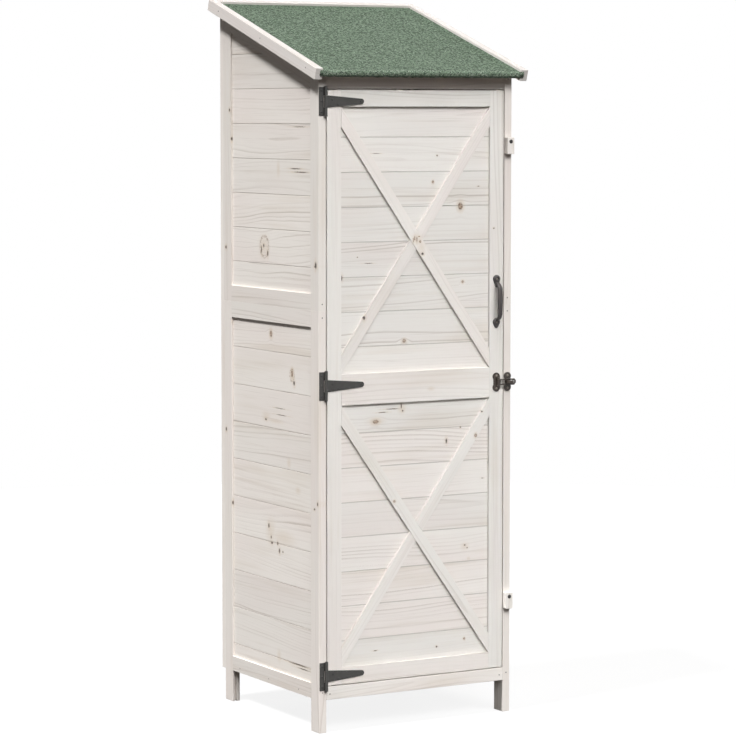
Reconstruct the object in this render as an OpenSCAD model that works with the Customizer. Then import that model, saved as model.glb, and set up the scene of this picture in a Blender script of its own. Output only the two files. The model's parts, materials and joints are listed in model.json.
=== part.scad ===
/* [Body] */
// Width over the two side walls
body_w = 545; // [480:5:700]
// Depth of a side wall, from its front face to its rear face
side_depth = 492; // [420:4:620]
// Thickness of the wall frame timber
frame_t = 20; // [18:1:24]
// Width of the wall frame timber, which is also the width of a leg
frame_w = 40; // [36:1:48]
// Free height under the walls
leg_h = 80; // [60:5:110]
// Height of a side wall's bottom rail
side_rail_h = 37; // [32:1:45]
// Height of the joint between the lower and the upper side panels
joint_h = 1022; // [950:2:1100]
// Height of each of the two rails that meet at that joint
joint_rail_h = 40; // [34:1:48]
// Height of the sloping top rail, square to its slope
top_rail_h = 40; // [34:1:48]
// Thickness of the back wall's frame
back_t = 18; // [16:1:22]

/* [Doorway] */
// Height of the door leaf
door_h = 1435; // [1380:5:1500]
// Thickness of the door leaf
door_t = 20; // [18:1:22]
// Gap round the door leaf
door_gap = 2.5; // [2:0.5:4]
// Height of the sill under the door
sill_h = 32; // [28:1:40]
// Height of the header above the door, at its front face
header_h = 38; // [32:1:50]
// Width of the door's stiles and of its top and bottom rails
door_frame_w = 40; // [36:1:46]
// Height of the door's middle rail
mid_rail_h = 75; // [66:1:90]
// Height of the lower boarded field of the door
door_lower_h = 638; // [600:2:680]
// Width of a brace, square to its length
brace_w = 28; // [22:1:34]
// How far the door boards lie behind the face of the door frame
door_recess = 6.5; // [5:0.5:7]
// Side of the square strip that the closed door meets
stop_w = 12; // [8:1:14]

/* [Boards] */
// Thickness of a tongued and grooved board
board_t = 6; // [5:0.5:7]
// How far the side boards lie behind the face of the wall frame
side_recess = 4.8; // [4:0.2:6]
// Visible width of a board in the lower side panels
lower_pitch = 94.8; // [80:0.2:110]
// Visible width of the ripped board at the bottom of the lower side panels
lower_first = 33.5; // [25:0.5:80]
// Visible width of a board in the upper side panels
upper_pitch = 86; // [74:1:100]
// Visible width of the ripped board at the bottom of the upper side panels
upper_first = 62; // [40:1:74]
// Visible width of a board in the door
door_pitch = 84; // [74:1:96]
// Visible width of the ripped board at the bottom of each door field
door_first = 65; // [40:1:74]
// Depth of the groove that a frame has for its boards
groove_d = 8; // [7:0.5:10]
// How far a tongue stands out of a board's edge
tongue_d = 5; // [4:0.5:6]
// Chamfer on the edges of a board's face, which makes the V of a joint
vee = 0.9; // [0.5:0.1:1.5]

/* [Inside] */
// Thickness of the floor boards
floor_t = 10; // [8:1:14]
// Side of the square cleats under the floor
floor_cleat = 20; // [16:1:24]
// Thickness of a shelf slat
shelf_t = 9; // [7:1:14]
// Height of a shelf cleat
shelf_cleat_h = 20; // [16:1:30]
// Width of a shelf cleat
shelf_cleat_w = 16; // [12:1:22]
// Height of the top of the lower shelf's cleats
lower_shelf_z = 545; // [350:5:700]

/* [Roof] */
// Fall of the roof towards the front, in degrees
roof_pitch = 18; // [12:1:22]
// How far the barge boards reach in front of the front face, at their foot
front_over = 27; // [20:1:60]
// How far the barge boards reach behind the back wall, at their foot
back_over = 18; // [16:1:50]
// Gap between a side wall and the barge board beside it
barge_off = 6; // [3:1:20]
// Thickness of a barge board
barge_t = 20; // [16:1:24]
// Depth of a barge board, square to the slope
barge_h = 28; // [25:1:40]
// Thickness of the roof deck
deck_t = 12; // [9:1:14]
// Thickness of the roofing felt
felt_t = 3; // [2:0.5:4]
// How far the barge boards stand proud of the felt
barge_proud = 5; // [3:1:7]
// Depth of the felt's turned down front edge
felt_drip = 17; // [12:1:18]

/* [Hinges] */
// Height of a hinge's frame leaf
leaf_h = 68; // [60:1:80]
// Thickness of the hinge plates
plate_t = 2; // [1.5:0.5:2.5]
// Outer radius of a hinge's knuckles
knuckle_r = 4; // [3.6:0.1:5]
// Radius of a hinge pin
pin_r = 1.8; // [1.2:0.1:2]
// Distance from the hinge line to the outer side of the post
hinge_in = 18; // [17:0.5:19]
// Length of a strap, from the hinge line to its tip
strap_l = 106; // [90:1:120]
// Width of a strap at its root
strap_root = 28; // [22:1:32]
// Width of a strap at its tip
strap_tip = 13; // [10:1:16]
// How far the upper hinge lies below the top of the door
hinge_drop = 27.5; // [26:0.5:40]
// How far the middle hinge lies above the middle of the middle rail
hinge_mid_up = 12; // [0:1:16]
// How far the lower hinge lies above the bottom of the door
hinge_rise = 23.5; // [21:0.5:30]

/* [Handle and catches] */
// Height of the handle's middle above the middle of the middle rail
handle_up = 200; // [120:5:300]
// Length of the handle over its two feet
handle_l = 132; // [116:2:150]
// How far the middle of the grip stands off the door
grip_off = 18.5; // [17:0.5:24]
// Radius of the round part of a handle foot
foot_r = 10; // [8:0.5:12]
// Length of a turn button
button_l = 41; // [34:1:50]
// Width of a turn button
button_w = 20; // [16:1:22]
// Thickness of a turn button
button_t = 14; // [10:1:18]
// Radius of a turn button's screw
button_screw_r = 2.2; // [1.8:0.1:3]
// How far the upper turn button's screw lies below the top of the door
button_drop = 125; // [80:5:200]
// How far the lower turn button's screw lies above the bottom of the door
button_rise = 178; // [120:2:240]
// Height of the two plates of the hasp
hasp_h = 47; // [44:1:56]
// Width of the two plates of the hasp
hasp_w = 20; // [18:1:20]
// Width of the slot in the hasp's link
slot_w = 8; // [7.5:0.5:9]
// Width of each of the link's two bars
bar_w = 3.5; // [3:0.5:4]
// Length of the wing of the hasp's turn knob
wing_l = 18; // [14:1:18]
// Radius of the hasp's pin
link_pin_r = 1.5; // [1:0.1:1.8]

/* [Nails and screws] */
// How far a post's nails lie from the joint between the side panels
joint_nail = 16.4; // [12:0.2:28]
// Radius of a nail's head
nail_head_r = 1.7; // [1.2:0.1:2.5]
// Radius of a nail's shank
nail_r = 1; // [0.8:0.1:1.4]
// Length of a nail
nail_l = 34; // [28:1:40]
// Radius of a plate screw's head
screw_head_r = 3; // [2.6:0.1:3.4]
// Radius of a plate screw's shank
screw_r = 1.5; // [1.2:0.1:1.8]
// How deep a plate screw goes into the timber
screw_depth = 14; // [10:1:16]

/* [Hidden] */
$fn = 48;

wood = [0.90, 0.87, 0.84];
wood_side = [0.86, 0.83, 0.80];
green = [0.42, 0.53, 0.45];
black = [0.22, 0.22, 0.21];
bronze = [0.17, 0.15, 0.15];
steel = [0.45, 0.44, 0.43];

// Places worked out from the sizes above. X is 0 in the middle of the width,
// Y is 0 in the middle of the depth over the roof, and Z is 0 on the ground.
// Allowances: how far a cut runs past a face, the gap between pieces that move
// past each other, a running fit, a snug fit and a screw's clearance
cut = 1;
touch = 0.3;
run_fit = 0.05;
snug = 0.02;
screw_fit = 0.2;
board_gap = 0.2;
slope = tan(roof_pitch);
barge_run = front_over + side_depth + back_t + back_over;
barge_l = barge_run / cos(roof_pitch);
barge_tilt = barge_h * sin(roof_pitch);
wall_l = -body_w / 2;
wall_r = body_w / 2;
face_y = front_over - (barge_run - barge_tilt) / 2;
rear_y = face_y + side_depth;
back_y = rear_y + back_t;

door_z = leg_h + sill_h + door_gap;
door_top = door_z + door_h;
header_z = door_top + door_gap;
front_h = header_z + header_h;
door_w = body_w - 2 * frame_t - 2 * door_gap;
door_x = -door_w / 2;
lower_field = [door_frame_w, door_frame_w + door_lower_h];
upper_field = [lower_field[1] + mid_rail_h, door_h - door_frame_w];
mid_z = door_z + lower_field[1] + mid_rail_h / 2;
post_x = wall_r - frame_t / 2;

tenon_fit = 0.1;
groove_w = board_t + 2 * tenon_fit;
board_seat = groove_d - 1;
tenon_l = groove_d - 0.5;
side_bottom = leg_h + side_rail_h;
lower_top = joint_h - joint_rail_h;
upper_bottom = joint_h + joint_rail_h;
rail_rise = top_rail_h / cos(roof_pitch);
inner_front = frame_w;
inner_rear = side_depth - frame_w;

deck_w = barge_h - barge_proud - felt_t - deck_t;
felt_w = deck_w + deck_t;
roof_half = body_w / 2 + barge_off;
barge_z = front_h - deck_w / cos(roof_pitch) - front_over * slope;
rear_strip = barge_h - deck_w;
felt_lip = 1.2;

floor_top = leg_h + sill_h - cut;
stop_y = face_y + door_t + touch;
stop_back = stop_y + stop_w;
shelf_front = stop_back + 2;
upper_shelf_z = joint_h - (joint_rail_h - shelf_cleat_h) / 2;
plank_n = 5;
floor_gap = 1;
slat_gap = 5;

hinge_x = wall_l + hinge_in;
hinge_y = face_y - knuckle_r - 0.5;
hinge_heights = [door_top - hinge_drop, mid_z + hinge_mid_up, door_z + hinge_rise];
knuckle_half = strap_root / 2;
knuckle_gap = 0.4;
barrel_half = leaf_h / 2 + 2;
strap_back = face_y - touch;
strap_face = strap_back - plate_t;
leaf_screw_x = wall_l + (hinge_in - knuckle_r) / 2 + 1;
leaf_screw_step = leaf_h / 2 - 9;
strap_screws = [[19.5, 4], [35, -8], [strap_l - 8, 0]];
head_t = 1.4;

handle_x = door_x + door_w - door_frame_w / 2;
handle_z = mid_z + handle_up;
foot_h = 6.5;
foot_seat = 2.5;
drop_l = 18;
drop_tip_r = 3.5;
egg_l = 9;
egg_tip_r = 6;
upper_foot = handle_l / 2 - foot_r;
lower_foot = egg_l + egg_tip_r - handle_l / 2;
grip_rings = 24;
grip_sides = 16;
grip_end = handle_l / 2 - 20;
grip_root = 3.6;
grip_bow = 8;
grip_wide = [6.8, 5.2];
grip_deep = [4.4, 3.4];

button_end = button_w / 2;
button_tail = button_l - button_end;
button_front = face_y - touch - button_t;
button_zs = [door_top - button_drop, door_z + button_rise];
button_edge = 1.5;
button_head_r = 5;
button_head_t = 2.2;
button_screw_in = 16;

hasp_t = 2.5;
plate_x = door_x + door_w - door_frame_w / 2;
lobe_r = hasp_w / 2;
hasp_screw_z = hasp_h / 2 - lobe_r + 2;
link_x = plate_x + 3;
link_knuckle_r = link_pin_r + 2.2;
link_y = face_y - hasp_t - touch - link_knuckle_r;
link_half = slot_w / 2 + bar_w;
link_t = 2.6;
block_x = wall_r - hasp_w + 3;
block_half = link_half + 0.8;
block_slant = 5;
block_tip = 2.5;
block_back = face_y - hasp_t - 0.8;
block_front = block_back - 6;
ear_t = 3;
ear_z = link_half + knuckle_gap;
slot_start = link_x + link_knuckle_r + 2.5;
wing_face = block_front - 0.5;
wing_t = slot_w - 1.2;
wing_d = 11;
wing_edge = 3;
wing_tip = norm([post_x + wing_l / 2 - link_x, link_y - wing_face + wing_d]);
slot_end = link_x + wing_tip + 1.4;
block_end = slot_end + 7.5;
stem_r = slot_w / 2 - 0.8;
flange_r = stem_r + 1.2;
flange_t = 2;
pocket_r = flange_r + 0.6;
pocket_d = touch + flange_t + 0.7;

// Height of the roof's underside over a place along the depth
function roof_z(y) = front_h + (y - face_y) * slope;

// A box between two opposite corners
module box(a, b) {
    translate(a) cube(b - a);
}

// A plate with the outline pts, in depth and height, between two places in X
module side_plate(pts, x0, x1) {
    translate([x0, 0, 0])
        rotate([90, 0, 90])
            linear_extrude(x1 - x0) polygon(pts);
}

// The part of the children that lies under the roof deck
module under_roof() {
    intersection() {
        children();
        side_plate([
            [face_y - front_over, 0],
            [back_y + back_over, 0],
            [back_y + back_over, roof_z(back_y + back_over)],
            [face_y - front_over, roof_z(face_y - front_over)]
        ], wall_l - cut, wall_r + cut);
    }
}

// Framed panels are drawn flat: X runs along the panel, Y from its outer face
// inwards, and Z is up. These three place them in the walls.
module in_left_wall() {
    translate([wall_l, face_y, 0]) mirror([1, -1, 0]) children();
}

module in_right_wall() {
    mirror([1, 0, 0]) in_left_wall() children();
}

module in_back_wall() {
    translate([wall_l, back_y, 0]) mirror([0, 1, 0]) children();
}

module in_door() {
    translate([door_x, face_y, door_z]) children();
}

// An upright of a panel, grooved on the edge that faces the boards
module stile(u0, w, v0, v1, t, recess, groove_right) {
    g0 = groove_right ? u0 + w - groove_d : u0 - cut;
    g1 = groove_right ? u0 + w + cut : u0 + groove_d;
    difference() {
        box([u0, 0, v0], [u0 + w, t, v1]);
        box([g0, recess, v0 - cut], [g1, recess + groove_w, v1 + cut]);
    }
}

// A level rail with a stub tenon at each end, grooved above, below or both
module rail(u0, u1, v0, v1, t, recess, above, below) {
    difference() {
        union() {
            box([u0, 0, v0], [u1, t, v1]);
            box([u0 - tenon_l, recess + tenon_fit, v0],
                [u1 + tenon_l, recess + groove_w - tenon_fit, v1]);
        }
        if (above)
            box([u0 - groove_d - cut, recess, v1 - groove_d],
                [u1 + groove_d + cut, recess + groove_w, v1 + cut]);
        if (below)
            box([u0 - groove_d - cut, recess, v0 - cut],
                [u1 + groove_d + cut, recess + groove_w, v0 + groove_d]);
    }
}

// Section of one board, in thickness and height. A ripped edge that seats in
// a rail has neither groove nor tongue.
function board_section(lo, hi, grooved, tongued) =
    let (mid = board_t / 2, tw = board_t / 6, gw = tw + 0.1, gd = tongue_d + 0.4)
    concat(
        [[0, lo + vee], [vee, lo]],
        grooved ? [[mid - gw, lo], [mid - gw, lo + gd], [mid + gw, lo + gd], [mid + gw, lo]] : [],
        [[board_t, lo], [board_t, hi]],
        tongued ? [[mid + tw, hi], [mid + tw, hi + tongue_d], [mid - tw, hi + tongue_d], [mid - tw, hi]] : [],
        [[vee, hi], [0, hi - vee]]
    );

// A field of tongued and grooved boards between two rails: v0 and v1 are the
// rails' edges, and the boards run on into the grooves of the frame
module boards(u0, u1, v0, v1, first, pitch, recess) {
    least = 12;
    n = max(0, ceil((v1 - least - v0 - first) / pitch));
    for (i = [0 : n]) {
        lo = i == 0 ? v0 - board_seat : v0 + first + (i - 1) * pitch;
        hi = i == n ? v1 + board_seat : v0 + first + i * pitch - board_gap;
        translate([u0 - board_seat, recess + tenon_fit, 0])
            rotate([90, 0, 90])
                linear_extrude(u1 - u0 + 2 * board_seat)
                    polygon(board_section(lo, hi, i > 0, i < n));
    }
}

// Height of the roof's underside over a place along a side wall, and a band of
// the wall between two heights over or under it
function slope_z(u) = front_h + u * slope;

module slope_band(u0, u1, from, to, t0, t1) {
    translate([0, t1, 0])
        rotate([90, 0, 0])
            linear_extrude(t1 - t0)
                polygon([
                    [u0, slope_z(u0) + from], [u1, slope_z(u1) + from],
                    [u1, slope_z(u1) + to], [u0, slope_z(u0) + to]
                ]);
}

// Side walls, drawn as the left one
module leg_front_flat() {
    stile(0, frame_w, 0, joint_h, frame_t, side_recess, true);
}

module leg_rear_flat() {
    stile(inner_rear, frame_w, 0, joint_h, frame_t, side_recess, false);
}

module lower_rails_flat() {
    rail(inner_front, inner_rear, leg_h, side_bottom, frame_t, side_recess, true, false);
    rail(inner_front, inner_rear, lower_top, joint_h, frame_t, side_recess, false, true);
}

module lower_boards_flat() {
    boards(inner_front, inner_rear, side_bottom, lower_top, lower_first, lower_pitch, side_recess);
}

module upper_stiles_flat() {
    difference() {
        union() {
            stile(0, frame_w, joint_h, slope_z(frame_w), frame_t, side_recess, true);
            stile(inner_rear, frame_w, joint_h, slope_z(side_depth), frame_t, side_recess, false);
        }
        slope_band(-cut, side_depth + cut, 0, side_depth, -cut, frame_t + cut);
    }
}

module upper_rails_flat() {
    rail(inner_front, inner_rear, joint_h, upper_bottom, frame_t, side_recess, true, false);
    difference() {
        union() {
            slope_band(inner_front, inner_rear, -rail_rise, 0, 0, frame_t);
            slope_band(inner_front - tenon_l, inner_rear + tenon_l, -rail_rise, 0,
                side_recess + tenon_fit, side_recess + groove_w - tenon_fit);
        }
        slope_band(inner_front - groove_d - cut, inner_rear + groove_d + cut,
            -rail_rise - cut, groove_d - rail_rise, side_recess, side_recess + groove_w);
    }
}

module upper_boards_flat() {
    difference() {
        boards(inner_front, inner_rear, upper_bottom, slope_z(inner_rear) - rail_rise,
            upper_first, upper_pitch, side_recess);
        slope_band(0, side_depth, board_seat - rail_rise, side_depth, -cut, frame_t + cut);
    }
}

module left_leg_front() {
    color(wood_side) in_left_wall() leg_front_flat();
}

module left_leg_rear() {
    color(wood_side) in_left_wall() leg_rear_flat();
}

module left_lower_rails() {
    color(wood_side) in_left_wall() lower_rails_flat();
}

module left_lower_boards() {
    color(wood_side) in_left_wall() lower_boards_flat();
}

module left_upper_stiles() {
    color(wood_side) in_left_wall() upper_stiles_flat();
}

module left_upper_rails() {
    color(wood_side) in_left_wall() upper_rails_flat();
}

module left_upper_boards() {
    color(wood_side) in_left_wall() upper_boards_flat();
}

module right_leg_front() {
    color(wood_side) difference() {
        in_right_wall() leg_front_flat();
        knob_pocket();
    }
}

module right_leg_rear() {
    color(wood_side) in_right_wall() leg_rear_flat();
}

module right_lower_rails() {
    color(wood_side) in_right_wall() lower_rails_flat();
}

module right_lower_boards() {
    color(wood_side) in_right_wall() lower_boards_flat();
}

module right_upper_stiles() {
    color(wood_side) in_right_wall() upper_stiles_flat();
}

module right_upper_rails() {
    color(wood_side) in_right_wall() upper_rails_flat();
}

module right_upper_boards() {
    color(wood_side) in_right_wall() upper_boards_flat();
}

// Front of the frame, between the two front posts
module front_sill() {
    color(wood)
        box([wall_l + frame_t, face_y, leg_h], [wall_r - frame_t, face_y + frame_t, leg_h + sill_h]);
}

module front_header() {
    color(wood) under_roof()
        box([wall_l + frame_t, face_y, header_z],
            [wall_r - frame_t, face_y + frame_t, roof_z(face_y + frame_t)]);
}

// Strip behind the latch side of the door, which the closed door meets
module door_stop() {
    color(wood)
        box([wall_r - frame_t - stop_w, stop_y, floor_top + touch],
            [wall_r - frame_t, stop_back, header_z]);
}

// Back wall: a frame over the full width, with two fields of boards
module back_stiles() {
    color(wood_side) under_roof() in_back_wall() {
        stile(0, frame_w, leg_h, roof_z(back_y), back_t, side_recess, true);
        stile(body_w - frame_w, frame_w, leg_h, roof_z(back_y), back_t, side_recess, false);
    }
}

module back_rails() {
    color(wood_side) under_roof() in_back_wall() {
        rail(frame_w, body_w - frame_w, leg_h, side_bottom, back_t, side_recess, true, false);
        rail(frame_w, body_w - frame_w, lower_top, upper_bottom, back_t, side_recess, true, true);
        rail(frame_w, body_w - frame_w, roof_z(rear_y) - top_rail_h, roof_z(back_y),
            back_t, side_recess, false, true);
    }
}

module back_boards() {
    color(wood_side) in_back_wall() {
        boards(frame_w, body_w - frame_w, side_bottom, lower_top, lower_first, lower_pitch, side_recess);
        boards(frame_w, body_w - frame_w, upper_bottom, roof_z(rear_y) - top_rail_h,
            upper_first, upper_pitch, side_recess);
    }
}

// Floor: boards that run across the shed, on a cleat along each side wall
module floor_cleats() {
    top = floor_top - floor_t;
    color(wood) for (side = [0, 1]) mirror([side, 0, 0])
        box([wall_l + frame_t, face_y + frame_t, top - floor_cleat],
            [wall_l + frame_t + floor_cleat, rear_y, top]);
}

// Planks side by side across the shed, between two places in the depth
module planks(y0, y1, n, gap, z0, t) {
    step = (y1 - y0 + gap) / n;
    for (i = [0 : n - 1])
        box([wall_l + frame_t + touch, y0 + i * step, z0],
            [wall_r - frame_t - touch, y0 + (i + 1) * step - gap, z0 + t]);
}

module floor_boards() {
    color(wood) planks(face_y + frame_t + touch, rear_y - touch, plank_n, floor_gap,
        floor_top - floor_t, floor_t);
}

// Shelves: slats on a pair of cleats. The upper pair lies on the rails of the
// lower side panels, the lower pair on their stiles.
module shelf_cleats() {
    color(wood) for (side = [0, 1], z = [lower_shelf_z, upper_shelf_z]) mirror([side, 0, 0])
        box([wall_l + frame_t, shelf_front, z - shelf_cleat_h],
            [wall_l + frame_t + shelf_cleat_w, rear_y - touch, z]);
}

module shelf_lower() {
    color(wood) planks(shelf_front, rear_y - touch, plank_n, slat_gap, lower_shelf_z, shelf_t);
}

module shelf_upper() {
    color(wood) planks(shelf_front, rear_y - touch, plank_n, slat_gap, upper_shelf_z, shelf_t);
}

// Roof, drawn in its slope: Y runs up the slope from the foot of the barge
// boards' front end, and Z is square to the slope
module in_roof() {
    translate([0, face_y - front_over, barge_z]) rotate([roof_pitch, 0, 0]) children();
}

module roof_deck() {
    color(wood) in_roof()
        box([-roof_half, felt_t - felt_lip + touch, deck_w], [roof_half, barge_l - rear_strip, felt_w]);
}

module roof_felt() {
    top = felt_w + felt_t;
    color(green) in_roof() union() {
        box([-roof_half, -felt_lip, felt_w], [roof_half, barge_l - rear_strip, top]);
        box([-roof_half, -felt_lip, top - felt_drip], [roof_half, felt_t - felt_lip, top]);
    }
}

module barge_left() {
    color(wood) in_roof()
        box([-roof_half - barge_t, 0, 0], [-roof_half, barge_l, barge_h]);
}

module barge_right() {
    color(wood) in_roof()
        box([roof_half, 0, 0], [roof_half + barge_t, barge_l, barge_h]);
}

module roof_rear_strip() {
    color(wood) in_roof()
        box([-roof_half, barge_l - rear_strip, deck_w], [roof_half, barge_l, barge_h]);
}

// A nail along Z, whose head lies on the level 0 with the shank below it
module nail(l) {
    $fn = 16;
    head = 0.3;
    translate([0, 0, -l]) cylinder(h = l, r = nail_r);
    cylinder(h = head, r = nail_head_r);
}

module nails() {
    reach = frame_w + 20;
    rail_mid = leg_h + side_rail_h / 2;
    cleat_z = floor_top - floor_t - floor_cleat / 2;
    sill_nail_z = cleat_z + 3;
    cleat_nail_ys = [0.21, 0.525, 0.84] * side_depth;
    barge_nail_ys = [0.085, 0.5, 0.9] * barge_l;
    post_zs = [
        rail_mid, joint_h - joint_nail, joint_h + joint_nail,
        slope_z(frame_w) - 0.6 * rail_rise
    ];
    color(steel) for (side = [0, 1]) mirror([side, 0, 0]) {
        // Through the posts into the ends of the rails
        for (z = post_zs)
            translate([wall_l + frame_t / 2, face_y, z]) rotate([90, 0, 0]) nail(reach);
        // Through the bottom rails into the floor cleats
        for (y = cleat_nail_ys)
            translate([wall_l, face_y + y, cleat_z]) rotate([0, -90, 0]) nail(nail_l);
        // Through the sill into the ends of the floor cleats
        translate([wall_l + frame_t + floor_cleat / 2, face_y, sill_nail_z])
            rotate([90, 0, 0]) nail(nail_l);
        // Through the barge boards into the edges of the deck
        in_roof() for (y = barge_nail_ys)
            translate([-roof_half - barge_t, y, deck_w + deck_t / 2]) rotate([0, -90, 0]) nail(nail_l);
    }
}

// Door leaf
module door_stile_hinge() {
    color(wood) in_door() stile(0, door_frame_w, 0, door_h, door_t, door_recess, true);
}

module door_stile_latch() {
    color(wood) in_door()
        stile(door_w - door_frame_w, door_frame_w, 0, door_h, door_t, door_recess, false);
}

module door_rail(v0, v1, above, below) {
    color(wood) in_door()
        rail(door_frame_w, door_w - door_frame_w, v0, v1, door_t, door_recess, above, below);
}

module door_rail_bottom() {
    door_rail(0, lower_field[0], true, false);
}

module door_rail_middle() {
    door_rail(lower_field[1], upper_field[0], true, true);
}

module door_rail_top() {
    door_rail(upper_field[1], door_h, false, true);
}

module door_boards(field) {
    color(wood) in_door()
        boards(door_frame_w, door_w - door_frame_w, field[0], field[1], door_first, door_pitch, door_recess);
}

module door_boards_lower() {
    door_boards(lower_field);
}

module door_boards_upper() {
    door_boards(upper_field);
}

// Braces cross each field from corner to corner. The falling one is whole, and
// the rising one is two halves that butt against it. brace_v is a brace's
// width measured straight up, for a field w wide and h high.
brace_set = 0.2;

function brace_v(w, h) =
    let (r = brace_w * brace_w / (w * w), k = 2 * r * h, c = r * (w * w + h * h), a = 1 - r)
    (sqrt(k * k + 4 * a * c) - k) / (2 * a);

module brace_plate(field) {
    color(wood) in_door()
        translate([door_frame_w, door_recess + tenon_fit, field[0]])
            rotate([90, 0, 0])
                linear_extrude(door_recess + tenon_fit - brace_set) children();
}

// Outline of the falling brace, grown by a fit on both long edges and run on
// past the field by the given length
module falling(w, h, fit, past) {
    v = brace_v(w, h);
    s = (h - v) / w;
    polygon([
        [-past, h + fit + s * past], [-past, h - v - fit + s * past],
        [w + past, -fit - s * past], [w + past, v + fit - s * past]
    ]);
}

module falling_brace(field) {
    brace_plate(field) falling(door_w - 2 * door_frame_w, field[1] - field[0], 0, 0);
}

module rising_halves(field) {
    w = door_w - 2 * door_frame_w;
    h = field[1] - field[0];
    brace_plate(field) difference() {
        translate([w, 0]) mirror([1, 0]) falling(w, h, 0, 0);
        falling(w, h, board_gap, cut);
    }
}

module door_brace_upper() {
    falling_brace(upper_field);
}

module door_brace_upper_halves() {
    rising_halves(upper_field);
}

module door_brace_lower() {
    falling_brace(lower_field);
}

module door_brace_lower_halves() {
    rising_halves(lower_field);
}

// Hinges: a leaf on the post with a knuckle above and below, a tapered strap
// on the door with the middle knuckle, and a pin through all three
module knuckle(z0, z1) {
    translate([hinge_x, hinge_y, z0]) cylinder(h = z1 - z0, r = knuckle_r);
}

module pin_bore(fit) {
    translate([hinge_x, hinge_y, -leaf_h]) cylinder(h = 2 * leaf_h, r = pin_r + fit);
}

module plate_hole(x, z) {
    translate([x, face_y + cut, z]) rotate([90, 0, 0]) cylinder(h = 10, r = screw_r + screw_fit);
}

module hinge_leaf(z) {
    gap = knuckle_half + knuckle_gap;
    color(black) translate([0, 0, z]) difference() {
        union() {
            box([wall_l + 1, face_y - plate_t, -leaf_h / 2], [hinge_x, face_y, leaf_h / 2]);
            knuckle(gap, barrel_half);
            knuckle(-barrel_half, -gap);
        }
        box([hinge_x - knuckle_r - knuckle_gap, face_y - plate_t - cut, -gap],
            [hinge_x + cut, face_y + cut, gap]);
        pin_bore(snug);
        for (k = [-1 : 1]) plate_hole(leaf_screw_x, k * leaf_screw_step);
    }
}

module hinge_strap(z) {
    straight = 8;
    tip_r = strap_tip / 2;
    color(black) translate([0, 0, z]) difference() {
        union() {
            knuckle(-knuckle_half, knuckle_half);
            translate([hinge_x, strap_back, 0]) rotate([90, 0, 0])
                linear_extrude(plate_t) union() {
                    polygon([
                        [0, -knuckle_half], [straight, -knuckle_half], [strap_l - tip_r, -tip_r],
                        [strap_l - tip_r, tip_r], [straight, knuckle_half], [0, knuckle_half]
                    ]);
                    translate([strap_l - tip_r, 0]) circle(tip_r);
                }
        }
        pin_bore(run_fit);
        for (s = strap_screws) plate_hole(hinge_x + s[0], s[1]);
    }
}

module hinge_leaf_top() {
    hinge_leaf(hinge_heights[0]);
}

module hinge_leaf_middle() {
    hinge_leaf(hinge_heights[1]);
}

module hinge_leaf_bottom() {
    hinge_leaf(hinge_heights[2]);
}

module hinge_strap_top() {
    hinge_strap(hinge_heights[0]);
}

module hinge_strap_middle() {
    hinge_strap(hinge_heights[1]);
}

module hinge_strap_bottom() {
    hinge_strap(hinge_heights[2]);
}

module hinge_pins() {
    color(black) for (z = hinge_heights) translate([hinge_x, hinge_y, z]) {
        translate([0, 0, -barrel_half]) cylinder(h = 2 * barrel_half, r = pin_r);
        for (side = [0, 1]) mirror([0, 0, side])
            translate([0, 0, barrel_half]) cylinder(h = 1, r1 = pin_r + 1, r2 = pin_r);
    }
}

// A screw along Y, whose head lies on a face at the depth y
module plate_screw(x, y, z) {
    $fn = 24;
    translate([x, y, z]) rotate([90, 0, 0]) {
        translate([0, 0, -screw_depth]) cylinder(h = screw_depth, r = screw_r);
        cylinder(h = head_t, r1 = screw_head_r, r2 = screw_head_r * 0.7);
    }
}

module post_screws() {
    color(black) {
        for (z = hinge_heights, k = [-1 : 1])
            plate_screw(leaf_screw_x, face_y - plate_t, z + k * leaf_screw_step);
        for (k = [-1, 1]) plate_screw(post_x, face_y - hasp_t, mid_z + k * hasp_screw_z);
    }
}

module door_screws() {
    color(black) {
        for (z = hinge_heights, s = strap_screws) plate_screw(hinge_x + s[0], strap_face, z + s[1]);
        for (k = [-1, 1]) {
            plate_screw(plate_x, face_y - hasp_t, mid_z + k * hasp_screw_z);
        }
        for (v = [lower_foot, upper_foot]) plate_screw(handle_x, face_y - foot_seat, handle_z + v);
    }
}

// Handle: a bowed grip lofted between two domed feet, a drop above and an egg
// below. In a ring at s, from -1 at the lower foot to 1 at the upper one, the
// section is square to the bow.
function mix(range, w) = range[0] + (range[1] - range[0]) * w;

function grip_ring(s) =
    let (
        out = grip_off - (grip_off - grip_root) * pow(s, grip_bow),
        lean = atan(grip_bow * (grip_off - grip_root) * pow(s, grip_bow - 1) / grip_end),
        wide = mix(grip_wide, s * s),
        deep = mix(grip_deep, s * s)
    )
    [for (k = [0 : grip_sides - 1])
        let (a = 360 * k / grip_sides, d = deep * sin(a))
        [wide * cos(a), -out - d * cos(lean), grip_end * s + d * sin(lean)]];

module grip() {
    n = grip_sides;
    points = [for (i = [0 : grip_rings]) each grip_ring(sin(90 * (2 * i / grip_rings - 1)))];
    sides = [for (i = [0 : grip_rings - 1], k = [0 : n - 1])
        let (a = i * n + k, b = i * n + (k + 1) % n) each [[a, b, a + n], [b, b + n, a + n]]];
    first = [for (k = [0 : n - 1]) n - 1 - k];
    last = [for (k = [0 : n - 1]) grip_rings * n + k];
    polyhedron(points, concat(sides, [first, last]));
}

module dome(v, r, h) {
    rim = 1.4;
    steps = 6;
    arc = [for (i = [0 : steps]) let (a = 90 * i / steps) [r * cos(a), rim + (h - rim) * sin(a)]];
    translate([0, 0, v]) rotate([90, 0, 0]) rotate_extrude() polygon(concat([[0, 0], [r, 0]], arc));
}

module foot(v, length, tip_r) {
    hull() {
        dome(v, foot_r, foot_h);
        dome(v - length, tip_r, foot_h * 0.6);
    }
}

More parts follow.
